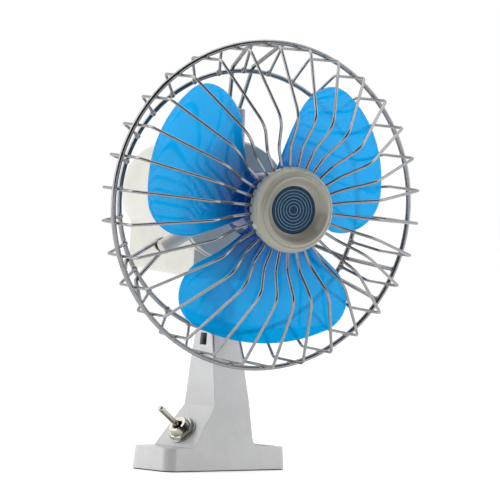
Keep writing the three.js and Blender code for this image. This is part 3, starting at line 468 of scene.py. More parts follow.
def along(stations, z):
    """The value at a height on an eased curve through (height, value) stations."""
    stations = [stations[0], *stations, stations[-1]]
    for i in range(1, len(stations) - 2):
        (za, a), (z0, p0), (z1, p1), (zb, b) = stations[i - 1:i + 3]
        if z <= z1 or i == len(stations) - 3:
            t = min(max((z - z0) / (z1 - z0), 0), 1)
            slope_0 = (p1 - a) / (z1 - za) * (z1 - z0)
            slope_1 = (b - p0) / (zb - z0) * (z1 - z0)
            return (
                (2 * t**3 - 3 * t**2 + 1) * p0 + (t**3 - 2 * t**2 + t) * slope_0
                + (3 * t**2 - 2 * t**3) * p1 + (t**3 - t**2) * slope_1
            )


def straight(stations, z):
    """The value at a height on straight lines between stations."""
    for (z0, p0), (z1, p1) in zip(stations, stations[1:]):
        if z <= z1 or z1 == stations[-1][0]:
            return p0 + (p1 - p0) * (z - z0) / (z1 - z0)


def sharp(edge):
    return edge.is_manifold and edge.calc_face_angle(0) > sharp_from


def stand_block(name, inset, low, foot_high, high):
    """The stand's outline from the side, pulled out to its width and drawn in level by level."""
    foot_low_half, foot_high_half = (straight(half_lengths, z) - inset for z in (low, foot_high))
    line = [(-foot_low_half, low), (-foot_high_half, foot_high)]
    line += [(straight(fronts, z) + inset, z) for z in (foot_high, slope_top, knee, high)]
    turn_z = foot_high + rear_fillet
    rear_levels = [high, *reversed([level for level in levels if turn_z < level < high])]
    line += [(along(rears, z) - inset, z) for z in rear_levels]
    turn_x = along(rears, turn_z) - inset + rear_fillet
    for step in range(rear_fillet_steps + 1):
        angle = math.radians(180 + 90 * step / rear_fillet_steps)
        line.append((turn_x + rear_fillet * math.cos(angle), turn_z + rear_fillet * math.sin(angle)))
    line += [(foot_high_half, foot_high), (foot_low_half, low)]

    widest = halves[0][1]
    piece = slab(name, line, -widest, 2 * widest)
    for z in [foot_high, *(level for level in levels if foot_high < level < high)]:
        bpy.ops.mesh.select_all(action="SELECT")
        bpy.ops.mesh.bisect(plane_co=(0, 0, z * mm), plane_no=(0, 0, 1))
    mesh = bmesh.from_edit_mesh(piece.data)
    for z in sorted({round(v.co.z / mm, 3) for v in mesh.verts}):
        pick("verts", lambda v: abs(v.co.z / mm - z) < 0.002)
        share = (along(halves, z) - inset) / widest
        bpy.ops.transform.resize(value=(1, share, 1), center_override=(0, 0, 0))
    return piece


stand = stand_block("stand_shell_dressed", 0, shell_low, foot_top, column_top)
pick("edges", lambda e: sharp(e) and abs(middle(e).x) > 46 * mm and reach(e, 2) > 5 * mm)
bpy.ops.mesh.bevel(offset=foot_corner, segments=12, affect="EDGES")
above_floor = (shell_low + 0.1) * mm
soften(
    lambda e: sharp(e) and max(v.co.z for v in e.verts) >= above_floor,
    edge_round, 4, clamp_overlap=True, miter_outer="ARC",
)

stand_block("cavity", wall, shell_low - 1, foot_top - wall, column_top - roof)
carve(stand, end())

# the openings: the pocket in the foot's top, the window, the switch's hole, the cord's hole
# and the hole for the swivel stud
pocket_front, pocket_rear, pocket_half, pocket_deep = 23.5, 43.0, 12.5, 0.9
window_low, window_high, window_half = 70.2, 77.0, 2.6
seat_share, switch_hole = 0.635, 6.15
cord_hole, stud_hole = 3.1, 2.3
slope_start, slope_end = (Vector((x, 0, z)) for z, x in fronts[:2])
slope_up = (slope_end - slope_start).normalized()
slope_out = Vector((-slope_up.z, 0, slope_up.x))
switch_seat = slope_end.lerp(slope_start, seat_share) * mm
on_slope = Matrix.Translation(switch_seat) @ Matrix.Rotation(math.atan2(slope_out.x, slope_out.z), 4, "Y")
grommet_height, end_draft = 6.8 * mm, math.radians(3.8)
on_foot_end = (
    Matrix.Translation((foot_length / 2 - grommet_height * math.tan(end_draft), 0, grommet_height))
    @ Matrix.Rotation(math.radians(90) - end_draft, 4, "Y")
)
pan_x = 2

block(
    "pocket", (pocket_front * mm, -pocket_half * mm, (foot_top - pocket_deep) * mm),
    (pocket_rear * mm, pocket_half * mm, (foot_top + 2) * mm),
)
carve(stand, soften(lambda e: reach(e, 2) > 2 * mm, 4.5 * mm, 8))
block(
    "opening", (-16 * mm, -window_half * mm, window_low * mm), (-5 * mm, window_half * mm, window_high * mm)
)
carve(stand, soften(lambda e: reach(e, 0) > 5 * mm, 0.5 * mm, 4))


def bore(radius, low, high, place, sides=32):
    """A round tool for a hole, from low to high along the axis of its place."""
    return settle(lathe("bore", [(0, low), (radius, low), (radius, high), (0, high)], sides), place)


carve(stand, bore(switch_hole, -6, 4, on_slope, 48))
carve(stand, bore(cord_hole, -5, 3, on_foot_end))
carve(stand, bore(stud_hole, 76, 84, moved(pan_x)))
shaded(stand, 32)


def moulded(name, colour, shine, coat=0.0, mottle=0.04, pebble=0.008):
    """Moulded plastic: an even colour with a very faint mottle and the skin of the mould."""
    plastic = Finish(name, colour, Roughness=shine, Coat_Weight=coat, Coat_Roughness=0.12, IOR=1.5)
    where = plastic.place()
    clouds = plastic.noise(where, 42, rough=0.55)
    orange_peel = plastic.noise(where, 520, 2.0, 0.4)
    specks = plastic.noise(where, 1900, 4.0, 0.7)
    deeper = tuple(c * (1 - 1.6 * mottle) for c in colour)
    paler = tuple(min(1, c * (1 + mottle)) for c in colour)
    plastic.feed("Base Color", plastic.mix(plastic.ramp(clouds, 0.3, 0.7), deeper, paler))
    plastic.feed("Roughness", plastic.ramp(specks, 0.3, 0.7, shine - 0.03, shine + 0.07))
    plastic.bump(orange_peel + specks * 0.25, pebble * mm)
    return plastic


stand_grey = moulded("stand_light_grey", (0.52, 0.52, 0.518), 0.26, coat=0.35)
fit(stand, Matrix(), "stand", stand_grey)


# ---------------------------------------------------------------- cord grommet and resistor
# A black rubber bush in the foot's end wall where the cord leaves, and the wirewound
# resistor for the low speed, in a square ceramic case inside the foot.

grommet = lathe("cord_grommet_dressed", [
    (1.8, 1.7), (1.8, -3.7), (3.9, -3.7), (3.9, -2.5), (2.8, -2.5), (2.8, 0.3), (3.9, 0.3),
    (3.8, 1.0), (3.3, 1.7), (1.8, 1.7),
], 40)
shaded(rounded(grommet, 0.25 * mm, 3))
rubber = Finish("grommet_rubber", (0.022, 0.022, 0.022))
rubber_grain = rubber.noise(rubber.place(), 1500, 4.0)
rubber.feed("Roughness", rubber.ramp(rubber_grain, 0.3, 0.7, 0.62, 0.82))
rubber.bump(rubber_grain, 0.04 * mm)
fit(grommet, on_foot_end, "stand", rubber)

ceramic = Finish("ceramic_case", (0.72, 0.68, 0.58), Roughness=0.8)
pores = ceramic.noise(ceramic.place(), 1100, 5.0, 0.7)
pored = ceramic.ramp(pores, 0.45, 0.7)
ceramic.feed("Base Color", ceramic.mix(pored, (0.74, 0.70, 0.60), (0.60, 0.55, 0.45)))
ceramic.bump(pores, 0.08 * mm)


def dress(finish, *nodes):
    """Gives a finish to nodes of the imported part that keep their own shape."""
    for node in nodes:
        piece = frame["nodes"][node]
        piece.data.materials.clear()
        piece.data.materials.append(finish.material)


dress(ceramic, "speed_resistor")


# ---------------------------------------------------------------- toggle switch
# A standard power toggle of nickel-plated brass: a threaded bushing through the slope, a
# washer and a chamfered hexagon nut on it, and a bat-shaped lever that rocks in its mouth.

nickel = plated("bright_nickel", (0.40, 0.385, 0.33), 0.12, 0.06, 0.02, 0.004)
bushing_radius, bushing_reach, thread_pitch, thread_depth = 5.85, 6.45, 0.6, 0.26
mouth_radius, mouth_edge = 2.7, 0.5
washer_low, washer_high, washer_radius = 0.3, 0.9, 8.2
nut_low, nut_high, nut_flats = 1.2, 3.4, 14.0

mouth = (mouth_radius, bushing_reach - mouth_edge)
bushing_profile = [mouth, (3.2, -3.6), (5.5, -3.6), (5.5, 0.2)]
height = 0.2
while height < bushing_reach - 1.0:
    bushing_profile += [
        (bushing_radius, height + 0.25 * thread_pitch),
        (bushing_radius - thread_depth, height + 0.8 * thread_pitch),
    ]
    height += thread_pitch
bushing_profile += [
    (bushing_radius - 0.05, bushing_reach - 0.85), (bushing_radius - 0.75, bushing_reach),
    (3.4, bushing_reach), mouth,
]
bushing = shaded(lathe("switch_bushing_dressed", bushing_profile, 56), 25, weighted=False)
fit(bushing, on_slope, "stand", nickel)


washer = lathe("switch_washer_dressed", [
    (switch_hole, washer_low), (washer_radius, washer_low), (washer_radius, washer_high),
    (switch_hole, washer_high), (switch_hole, washer_low),
], 56)
shaded(rounded(washer, 0.12 * mm))
fit(washer, on_slope, "stand", zinc)


def hex_nut(name, flats, low, high, thread):
    """A hexagon nut whose corners are turned down, with a countersunk thread hole."""
    corner, rise = flats / math.sqrt(3), high - low
    bpy.ops.mesh.primitive_cylinder_add(vertices=6, radius=corner * mm, depth=rise * mm)
    nut = begin(name)
    bpy.ops.transform.translate(value=(0, 0, (low + high) / 2 * mm))
    end()
    cone = lathe("cone", [
        (0, low - 0.1), (flats / 2 - 0.1, low - 0.1), (corner, low + 0.12 * rise),
        (corner, high - 0.32 * rise), (flats / 2 - 0.25, high + 0.05), (0, high + 0.05),
    ], 72)
    carve(nut, cone, "INTERSECT")
    hole = lathe("hole", [
        (0, low - 1), (thread, low - 1), (thread, high - 0.3), (thread + 0.6, high + 0.3), (0, high + 0.3),
    ], 48)
    carve(nut, hole)
    return shaded(rounded(nut, 0.1 * mm, 2, 25), 30)


switch_nut = hex_nut("switch_nut_dressed", nut_flats, nut_low, nut_high, bushing_radius + 0.05)
fit(switch_nut, on_slope, "stand", nickel)

lever_pivot, lever_tip, lever_lean = 1.45, 23.65, -5
lever = lathe("switch_lever_dressed", [
    (0, -5.5), (0.8, -5.5), (1.0, -5.2), (1.1, -0.2), (1.8, 0.5), (1.97, lever_pivot), (1.8, 2.4),
    (1.48, 3.2), (1.46, 6.4), (1.5, 10.0), (1.58, 14.5), (1.69, 19.0), (1.74, 21.9), (1.68, 22.7),
    (1.45, 23.25), (1.0, 23.56), (0, lever_tip),
], 40)
shaded(lever, 50, weighted=False)
at_pivot = moved(z=lever_pivot)
leaning = at_pivot @ turned(lever_lean, "Y") @ at_pivot.inverted()
fit(lever, on_slope @ leaning, "switch_lever", nickel)

phenolic = moulded("switch_phenolic", (0.03, 0.03, 0.03), 0.5)
bronze = plated("sintered_bronze", (0.42, 0.27, 0.10), 0.42)
dress(phenolic, "switch_body")
dress(bronze, "switch_terminal_1", "switch_terminal_2", "switch_terminal_3")


# ---------------------------------------------------------------- swivel neck
# A steel yoke on a stud that turns in the column's top, held inside by a washer and a round
# nut. Its two cheeks clamp the head's tongue with a slotted bolt and a hexagon nut.

joints = {joint["name"]: joint for joint in frame["joints"]}
pan, tilt, spin = joints["pan"], joints["tilt"], joints["fan_spin"]
neck_side = Vector(tilt["axis"]).normalized()
neck_back = Vector((0, 0, 1)).cross(neck_side)
on_neck = Matrix((neck_side, neck_back, Vector((0, 0, 1)))).transposed().to_4x4()
on_neck.translation = (pan["pos_m"][0], pan["pos_m"][1], 0)
tilt_height = tilt["pos_m"][2] / mm
cheek_inner, cheek_outer, cheek_radius = 3.8, 7.2, 7.0
yoke_low, yoke_high = 82.3, 85.9
bolt_bore, bolt_seat = 2.3, 7.5


def tongue_plate(name, x0, x1, low, middle_z, radius):
    """A plate between two x values: straight sides from low, and a half-round end."""
    start = 0 if low < middle_z else 180
    arc = [math.radians(start + 180 * i / 20) for i in range(21)]
    line = [(radius * math.cos(a), middle_z + radius * math.sin(a)) for a in arc]
    line += [(line[-1][0], low), (line[0][0], low)]
    slab(name, line, 0, x1 - x0)
    return settle(end(), moved(x0) @ turned(-90))


yoke = lathe("yoke_dressed", [
    (0, 72.5), (2, 72.5), (2, yoke_low), (8.6, yoke_low), (8.6, yoke_high - 0.9),
    (8.3, yoke_high - 0.3), (7.7, yoke_high), (0, yoke_high),
], 56)
for low_x in (-cheek_outer, cheek_inner):
    high_x = low_x + cheek_outer - cheek_inner
    carve(yoke, tongue_plate("cheek", low_x, high_x, yoke_high - 1, tilt_height, cheek_radius), "UNION")
sideways, upside_down = turned(90, "Y"), turned(180, "X")
across = moved(z=tilt_height) @ sideways
carve(yoke, bore(bolt_bore, -20, 20, across))
shaded(rounded(yoke, 0.35 * mm, 3))
fit(yoke, on_neck, "neck", zinc)


def slotted_screw(name, head_radius, head_height, shank_radius, length):
    """A cheese-headed screw along Z: the head above its seat at zero, the shank below."""
    cheese_head = lathe(name, [
        (0, -length), (0.6 * shank_radius, -length), (shank_radius, 0.8 - length), (shank_radius, 0),
        (head_radius, 0), (head_radius, 0.55 * head_height), (0.93 * head_radius, 0.8 * head_height),
        (0.75 * head_radius, 0.95 * head_height), (0, head_height),
    ], 36)
    past, deep = 2 * head_radius * mm, head_height * mm
    block("slot", (-past, -slot_half, 0.5 * deep), (past, slot_half, 2 * deep))
    return shaded(rounded(carve(cheese_head, end()), 0.1 * mm), 30)


bolt = slotted_screw("tilt_bolt_dressed", head_radius=3.8, head_height=2.4, shank_radius=2, length=19.5)
fit(bolt, on_neck @ across @ moved(z=bolt_seat), "neck", nickel)
tilt_nut = hex_nut("tilt_nut_dressed", flats=7, low=0, high=3.2, thread=2.05)
fit(tilt_nut, on_neck @ across @ moved(z=-bolt_seat) @ upside_down, "neck", nickel)
dress(zinc, "pan_washer", "pan_nut")


# ---------------------------------------------------------------- motor housing
# The cream moulding behind the fan: a slightly tapered round shell with a square block
# under it and slots in its rounded rear. A tongue below the block goes into the yoke.

head_forward = Vector(spin["axis"]).normalized()
head_up = head_forward.cross(neck_side)
on_head = Matrix((neck_side, head_up, head_forward)).transposed().to_4x4()
on_head.translation = Vector(spin["pos_m"])

housing_front, housing_rear, housing_wall = -41.0, -138.93, 2.4
housing_front_radius, housing_rear_radius, housing_edge = 34.0, 28.5, 11.0
block_front, block_rear, block_depth, block_top, block_corner = -47.0, -127.0, 44.8, -8.0, 5.0
block_half_front, block_half_rear = 18.5, 23.0
ring_reach, tilt_drop, tongue_half, tongue_radius = 50.0, 55.0, 3.5, 7.0
vent_count, vent_inner, vent_outer, vent_half, vent_first = 8, 12.0, 22.0, 1.4, 22.5


def housing_shape(name, inset, low, high):
    """The round shell's outline spun round the fan's axis."""
    edge = housing_edge - 0.6 * inset
    outer = housing_rear_radius - inset
    turns = [math.radians(90 * i / 10) for i in range(11)]
    corner = [(outer - edge + edge * math.sin(a), low + edge - edge * math.cos(a)) for a in turns]
    return lathe(name, [(0, low), *corner, (housing_front_radius - inset, high), (0, high)], 96)


def block_shape(name, inset, low, high):
    """The square block: wider at the rear, its two lower edges rounded."""
    block(
        name,
        (-block_half_front * mm, (inset - block_depth) * mm, low * mm),
        (block_half_front * mm, block_top * mm, high * mm),
    )
    for z in (low, high):
        share = (z - block_front) / (block_rear - block_front)
        half = block_half_front + share * (block_half_rear - block_half_front) - inset
        pick("verts", lambda v: abs(v.co.z - z * mm) < 0.1 * mm)
        bpy.ops.transform.resize(value=(half / block_half_front, 1, 1), center_override=(0, 0, 0))
    lower = -30 * mm
    return soften(lambda e: middle(e).y < lower and reach(e, 2) > 20 * mm, (block_corner - inset) * mm, 8)


def joined(pieces, name):
    alone(pieces[0])
    for piece in pieces:
        piece.select_set(True)
    bpy.ops.object.join()
    pieces[0].name = pieces[0].data.name = name
    return pieces[0]


def around(piece, count, first):
    """One mesh of copies of a piece, set round the fan's axis."""
    name = piece.name
    copies = [twin(piece, name + "_copy", turned(first + 360 * i / count)) for i in range(count)]
    bpy.data.objects.remove(piece)
    return joined(copies, name)


def mended(piece):
    alone(piece)
    bpy.ops.object.mode_set(mode="EDIT")
    close(0.01 * mm)
    return end()


housing = housing_shape("motor_housing_dressed", 0, housing_rear, housing_front)
carve(housing, block_shape("under_block", 0, block_rear, block_front), "UNION")
mended(rounded(mended(housing), 1.0 * mm, 4, 28))
carve(housing, housing_shape("hollow", housing_wall, housing_rear + housing_wall, housing_front + 1))
carve(housing, block_shape("hollow", housing_wall, block_rear + housing_wall, block_front - housing_wall))
tongue = tongue_plate("tongue", -tongue_half, tongue_half, 1 - block_depth, -tilt_drop, tongue_radius)
settle(rounded(tongue, 0.5 * mm, 3), moved(z=-ring_reach) @ turned(-90, "X"))
carve(housing, tongue, "UNION")
bolt_line = moved(0, -tilt_drop, -ring_reach) @ sideways
carve(housing, bore(bolt_bore, -20, 20, bolt_line))
block(
    "vent", (vent_inner * mm, -vent_half * mm, -146 * mm), (vent_outer * mm, vent_half * mm, -134 * mm)
)
vent = soften(lambda e: reach(e, 2) > 5 * mm, 0.9 * vent_half * mm, 4)
for index in range(vent_count):
    carve(housing, twin(vent, "slot", turned(vent_first + 360 / vent_count * index)))
bpy.data.objects.remove(vent)
shaded(mended(housing), 32)
cream = moulded("housing_cream", (0.56, 0.55, 0.495), 0.34, coat=0.2)
fit(housing, on_head, "head", cream)


# ---------------------------------------------------------------- front bell
# The cream cover on the housing's front: a plate with the front bearing in its boss and
# three round arms. Each arm's end carries the guard, on a screw from behind.

bell_low, bell_high, bell_radius, bell_boss_reach = -40.7, -37.1, 33.4, -31.0
shaft_hole, bearing_hole, bearing_seat, screw_hole = 3.3, 4.8, -40.2, 1.8
arm_radius, arm_start, arm_reach = 4.28, 11.0, 52.0
arm_centre, guard_turn = -36.4, 2.5
bell_screw_circle, stay_screw_circle, stay_screw_seat = 28.0, 48.5, -43.7
arm_turn, screw_turn = 90 + guard_turn, 30 + guard_turn

bell = lathe("front_bell_dressed", [
    (shaft_hole, bell_low), (bell_radius, bell_low), (bell_radius, bell_high - 1.4),
    (bell_radius - 0.4, bell_high - 0.5), (bell_radius - 1.3, bell_high), (10, bell_high),
    (8.8, bell_high + 0.4), (8, bell_high + 1.5), (7.4, bell_boss_reach - 0.5), (6.9, bell_boss_reach),
    (bearing_hole, bell_boss_reach), (bearing_hole, bearing_seat), (shaft_hole, bearing_seat),
    (shaft_hole, bell_low),
], 72)
arm = lathe("arm", [
    (0, arm_start), (arm_radius, arm_start), (arm_radius, arm_reach - 0.9),
    (arm_radius - 0.25, arm_reach - 0.3), (arm_radius - 0.9, arm_reach), (0, arm_reach),
], 40)
settle(arm, moved(z=arm_centre) @ sideways)
carve(bell, around(arm, 3, arm_turn), "UNION")
for circle, low, high, turn in (
    (bell_screw_circle, bell_low - 1, bell_high + 1, screw_turn),
    (stay_screw_circle, bell_low - 1, arm_centre + 1.3, arm_turn),
):
    hole = bore(screw_hole, low, high, moved(circle), 24)
    carve(bell, around(hole, 3, turn))
carve(bell, lathe("bore", [
    (0, -42), (shaft_hole, -42), (shaft_hole, bearing_seat), (bearing_hole, bearing_seat),
    (bearing_hole, -30), (0, -30),
], 48))
shaded(bell, 32)
fit(bell, on_head, "head", cream)

on_plate, from_behind = moved(z=bell_high + 0.3), moved(z=stay_screw_seat) @ upside_down
for index in range(3):
    for name, sizes, turn, circle, seat in (
        ("bell_screw", (3.0, 2.0, 1.5, 14.6), screw_turn, bell_screw_circle, on_plate),
        ("stay_screw", (3.8, 2.2, 1.5, 8.3), arm_turn, stay_screw_circle, from_behind),
    ):
        screw = slotted_screw(f"{name}_dressed_{index + 1}", *sizes)
        place = on_head @ turned(turn + 120 * index) @ moved(circle) @ seat
        fit(screw, place, "head", nickel)


# ---------------------------------------------------------------- motor
# A small permanent-magnet motor inside the housing: a steel can with two magnets, brushes
# and sintered bearings, and an armature with copper windings on the shaft.

ferrite = Finish("ferrite_grey", (0.055, 0.052, 0.052), Roughness=0.6)
ferrite_grain = ferrite.noise(ferrite.place(), 1400, 5.0, 0.7)
ferrite.feed("Roughness", ferrite.ramp(ferrite_grain, 0.3, 0.7, 0.5, 0.75))
ferrite.bump(ferrite_grain, 0.03 * mm)
copper = plated("enamelled_copper", (0.55, 0.24, 0.11), 0.35)
shaft_steel = plated("ground_steel", (0.50, 0.50, 0.50), 0.22)
dress(zinc, "motor_can", "armature_core")
dress(bronze, "bearing_front", "bearing_rear")
dress(ferrite, "motor_magnet_1", "motor_magnet_2", "brush_1", "brush_2")
dress(phenolic, "brush_plate")
dress(copper, "winding_front", "winding_rear", "commutator")
dress(shaft_steel, "motor_shaft")


# ---------------------------------------------------------------- blades
# Three broad, twisted blades and their cup-shaped hub in one moulding of clear blue plastic.
# Thin parts let the light through. The hub, where two walls lie together, is darker, and the blue is also
# painted darker towards the hub as painted shade of the housing behind the blades.

hub_radius, hub_front, hub_rear, hub_wall = 18.5, 15.0, -13.0, 2.2
hub_boss_radius, hub_boss_rear, hub_bore = 5.0, -27.0, 2.8
blade_count, blade_phase, blade_radius, blade_root = 3, 30.0, 76.0, 17.4
blade_thick, blade_corner, blade_middle = 1.7, 28.0, 3.2
blade_wide = blade_radius - blade_corner
blade_half_root, blade_half_wide = math.radians(43), math.radians(47.5)
sweep_root, sweep_wide = math.radians(10), math.radians(2)
rise_root, rise_tip, blade_camber = 6.0, 20.0, 1.6
blade_across, blade_along = 26, 30


def blade_point(across, outward):
    """A point of the blade's middle surface, for shares -1 to 1 across and 0 to 1 outward."""
    r = blade_root + (blade_radius - blade_root) * math.sin(outward * math.pi / 2)
    grown = min((r - blade_root) / (blade_wide - blade_root), 1)
    into = max(r - blade_wide, 0)
    half = blade_half_root + grown * (blade_half_wide - blade_half_root)
    half -= (blade_corner - math.sqrt(max(blade_corner**2 - into**2, 0))) / r
    share = half * across / blade_half_wide
    angle = half * across + sweep_root + grown * (sweep_wide - sweep_root)
    rise = rise_root + (rise_tip - rise_root) * (r - blade_root) / (blade_radius - blade_root)
    bow = blade_camber * (1 - share**2) * math.sin(math.pi * min(outward * 1.1, 1))
    return Vector((r * math.cos(angle), r * math.sin(angle), blade_middle + rise * share - bow)) * mm


bpy.ops.mesh.primitive_grid_add(x_subdivisions=blade_across, y_subdivisions=blade_along, size=2)
blade = bpy.context.object
blade.name = "blade"
for vertex in blade.data.vertices:
    vertex.co = blade_point(vertex.co.x, (vertex.co.y + 1) / 2)
apply(blade, "SOLIDIFY", thickness=blade_thick * mm, offset=0, use_even_offset=True)
rounded(blade, 0.55 * mm, 3, 60)

crown, cup = hub_front - hub_wall, hub_radius - hub_wall
hub = lathe("fan_blades_dressed", [
    (hub_bore, hub_boss_rear), (hub_boss_radius - 0.5, hub_boss_rear), (hub_boss_radius, hub_boss_rear + 0.5),
    (hub_boss_radius, crown), (cup - 1.5, crown), (cup, crown - 1.5), (cup, hub_rear), (hub_radius, hub_rear),
    (hub_radius, hub_front - 3.2), (hub_radius - 0.25, hub_front - 2), (hub_radius - 0.9, hub_front - 0.9),
    (hub_radius - 2, hub_front - 0.25), (hub_radius - 3.2, hub_front), (hub_boss_radius + 3, hub_front),
    (hub_boss_radius + 2, hub_front - 0.5), (hub_bore, hub_front - 0.5), (hub_bore, hub_boss_rear),
], 96)
carve(hub, around(blade, blade_count, blade_phase), "UNION")
shaded(hub, 40, weighted=False)


def from_axis(finish):
    """How far a point of a piece on the head is from the fan's axis."""
    offset = finish.node("VectorMath", {"operation": "SUBTRACT"}, {
        0: finish.place(), 1: tuple(on_head.translation),
    })
    across_axis = finish.node("VectorMath", {"operation": "CROSS_PRODUCT"}, {
        0: offset, 1: tuple(head_forward),
    })
    return finish.node("VectorMath", {"operation": "LENGTH"}, {0: across_axis}, output=1)


blue = Finish(
    "blade_blue", (0.01, 0.36, 0.80), IOR=1.1, Transmission_Weight=0.85,
    Coat_Weight=1.0, Coat_IOR=1.45, Coat_Roughness=0.04,
)
outward = from_axis(blue)
# painted shade: the blue is painted darker towards the hub, where the housing behind the blades keeps light
# from them
depth = blue.ramp(outward, 16 * mm, 60 * mm)
clouds = blue.noise(blue.place(), 30)
hub_shade_tint = blue.mix(depth, (0.001, 0.055, 0.33), (0.003, 0.43, 0.88))
clouded = blue.ramp(clouds, 0.3, 0.7, 0.0, 0.12)
blue.feed("Base Color", blue.mix(clouded, hub_shade_tint, (0.006, 0.46, 0.92)))
scuffs = blue.noise(blue.place(), 700, 4.0, 0.6)
blue.feed("Roughness", blue.ramp(scuffs, 0.35, 0.75, 0.17, 0.24))
glow = blue.node("BsdfTranslucent", sockets={"Color": (0.006, 0.62, 0.95)})
glow_share = blue.ramp(outward, 15 * mm, 50 * mm, 0.1, 0.4)
glowing = blue.node("MixShader", sockets={0: glow_share, 1: Shade(blue, blue.shader.outputs[0]), 2: glow})
blue.plug(glowing, blue.tree.nodes["Material Output"].inputs["Surface"])
fit(hub, on_head, "rotor", blue)
shaft_nut = hex_nut("hub_nut_dressed", flats=8, low=15.3, high=19.3, thread=2.55)
fit(shaft_nut, on_head, "rotor", nickel)


# ---------------------------------------------------------------- guard
# Thirty bent wires, welded to a hub ring in front, a big ring at the side and a smaller
# ring at the rear. Three heavy wire stays hold the cage to the arms. Dull nickel plate.

wire_count, wire_radius, ring_radius, rear_wire_radius, stay_radius = 30, 0.85, 1.4, 1.35, 1.2
wall_radius, wall_front, wall_rear = 88.3, 17.0, -20.2
rear_ring_radius, rear_ring_place, hub_ring_radius, hub_ring_place = 73.4, -30.6, 20.5, 32.0
outer_ring_radius = wall_radius + wire_radius + ring_radius - 0.37
stay_spread, stay_spread_rear, stay_eye, stay_plane = 6.2, 4.5, 3.0, -42.2
bend_step = 9  # degrees of bend in one stretch of wire


def bent(corners):
    """A path through corners of (x, y, z, bend radius), each bend as an arc, in millimetres."""
    points = [Vector(corner[:3]) for corner in corners]
    path = [points[0]]
    for last, here, following, (*_, bend) in zip(points, points[1:], points[2:], corners[1:]):
        back, on = (last - here).normalized(), (following - here).normalized()
        opening = back.angle(on)
        centre = here + (back + on).normalized() * bend / math.sin(opening / 2)
        start, end = (here + way * bend / math.tan(opening / 2) - centre for way in (back, on))
        steps = max(2, round(math.degrees(math.pi - opening) / bend_step))
        path += [centre + start.slerp(end, step / steps) * bend for step in range(steps + 1)]
    return path + [points[-1]]


def wire(name, path, radius):
    """A round wire along a path, with flat cut ends."""
    here = path[0]
    drawn(name, [(here.x, here.z)], here.y)
    for there in path[1:]:
        bpy.ops.mesh.extrude_vertices_move(TRANSFORM_OT_translate={"value": (there - here) * mm})
        here = there
    end()
    bpy.ops.object.convert(target="CURVE")
    curve = bpy.context.object.data
    curve.bevel_depth, curve.bevel_resolution, curve.use_fill_caps = radius * mm, 3, True
    bpy.ops.object.convert(target="MESH")
    return mended(bpy.context.object)


def ring(name, radius, section, height):
    bpy.ops.mesh.primitive_torus_add(
        major_radius=radius * mm, minor_radius=section * mm, major_segments=180, minor_segments=14,
    )
    bpy.context.object.name = name
    return settle(bpy.context.object, moved(z=height))


def weld(name, at, size, stretch):
    """A small lump of weld metal where two wires meet."""
    bpy.ops.mesh.primitive_uv_sphere_add(segments=14, ring_count=8, radius=size * mm)
    begin(name)
    bpy.ops.transform.resize(value=stretch)
    return settle(end(), moved(*at))


wire_first = 180 / wire_count + guard_turn
guard_wire = wire("guard_wire", bent([
    (hub_ring_radius, 0, hub_ring_place), (34.5, 0, 32.6, 10), (50.4, 0, 42.8, 9),
    (wall_radius - 0.13, 0, wall_front, 5), (wall_radius, 0, wall_rear, 3),
    (rear_ring_radius - 0.2, 0, rear_ring_place + rear_wire_radius),
]), wire_radius)
side_weld = weld("side_weld", (wall_radius + 1.0, 0, 0), 1.25, (0.8, 1.1, 1.7))
rear_weld = weld("rear_weld", (rear_ring_radius + 0.3, 0, rear_ring_place + 0.9), 1.5, (1.3, 1.2, 0.9))
parts = [
    around(guard_wire, wire_count, wire_first),
    ring("outer_ring", outer_ring_radius, ring_radius, 0),
    ring("rear_ring", rear_ring_radius, rear_wire_radius, rear_ring_place),
    ring("hub_ring", hub_ring_radius, wire_radius, hub_ring_place),
    around(side_weld, wire_count, wire_first),
    around(rear_weld, wire_count, wire_first),
]


def on_circle(radius, degrees, z, middle_x=0.0):
    angle = math.radians(degrees)
    return middle_x + radius * math.cos(angle), radius * math.sin(angle), z


# each stay runs in from the outer ring, round a screw and back
rear_pass = rear_ring_place - rear_wire_radius - stay_radius + 0.4
eye = [Vector(on_circle(stay_eye, turn, stay_plane, stay_screw_circle)) for turn in range(105, 256, 15)]
strands = []
for side, eye_end in ((1, eye[0]), (-1, eye[-1])):
    strands.append(bent([
        on_circle(outer_ring_radius - 0.5, side * stay_spread, -ring_radius),
        (*on_circle(rear_ring_radius + 2.2, side * (stay_spread_rear + 0.2), rear_pass + 1.4), 4),
        (*on_circle(rear_ring_radius - 3, side * stay_spread_rear, rear_pass - 0.6), 4),
        (stay_screw_circle + 1, side * stay_eye, stay_plane, 3),
        eye_end[:],
    ]))
stay = wire("stay", strands[0][:-1] + eye + strands[1][-2::-1], stay_radius)
parts.append(around(stay, 3, arm_turn))
for side in (1, -1):
    at = on_circle(outer_ring_radius - 0.6, side * stay_spread, -0.9)
    parts.append(around(weld("stay_weld", at, 1.5, (1.0, 1.25, 1.1)), 3, arm_turn))

cage = joined(parts, "guard_cage_dressed")
shaded(cage, 50, weighted=False)
dull_nickel = plated("dull_nickel", (0.29, 0.29, 0.295), 0.16, 0.08, 0.02, 0.003)
fit(cage, on_head, "head", dull_nickel)


# ---------------------------------------------------------------- bezel and badge
# A warm grey ring-shaped cap in front of the guard's hub ring, clamped to it by a disc and
# a screw from behind. In its dish lies a dark blue disc with six fine light rings.

bezel_rear, bezel_crest, bezel_radius, crest_radius = 33.1, 43.5, 23.4, 18.6
badge_radius, badge_front, badge_seat, floor_rear, boss_rear = 12.9, 38.1, 36.5, 34.5, 31.2
clamp_front, clamp_rear, clamp_radius, clamp_screw_seat = 30.9, 29.2, 22.4, 28.9
badge_rings = (0.19, 0.33, 0.46, 0.60, 0.72, 0.85)
badge_ring_width, ring_height = 0.11, 0.1

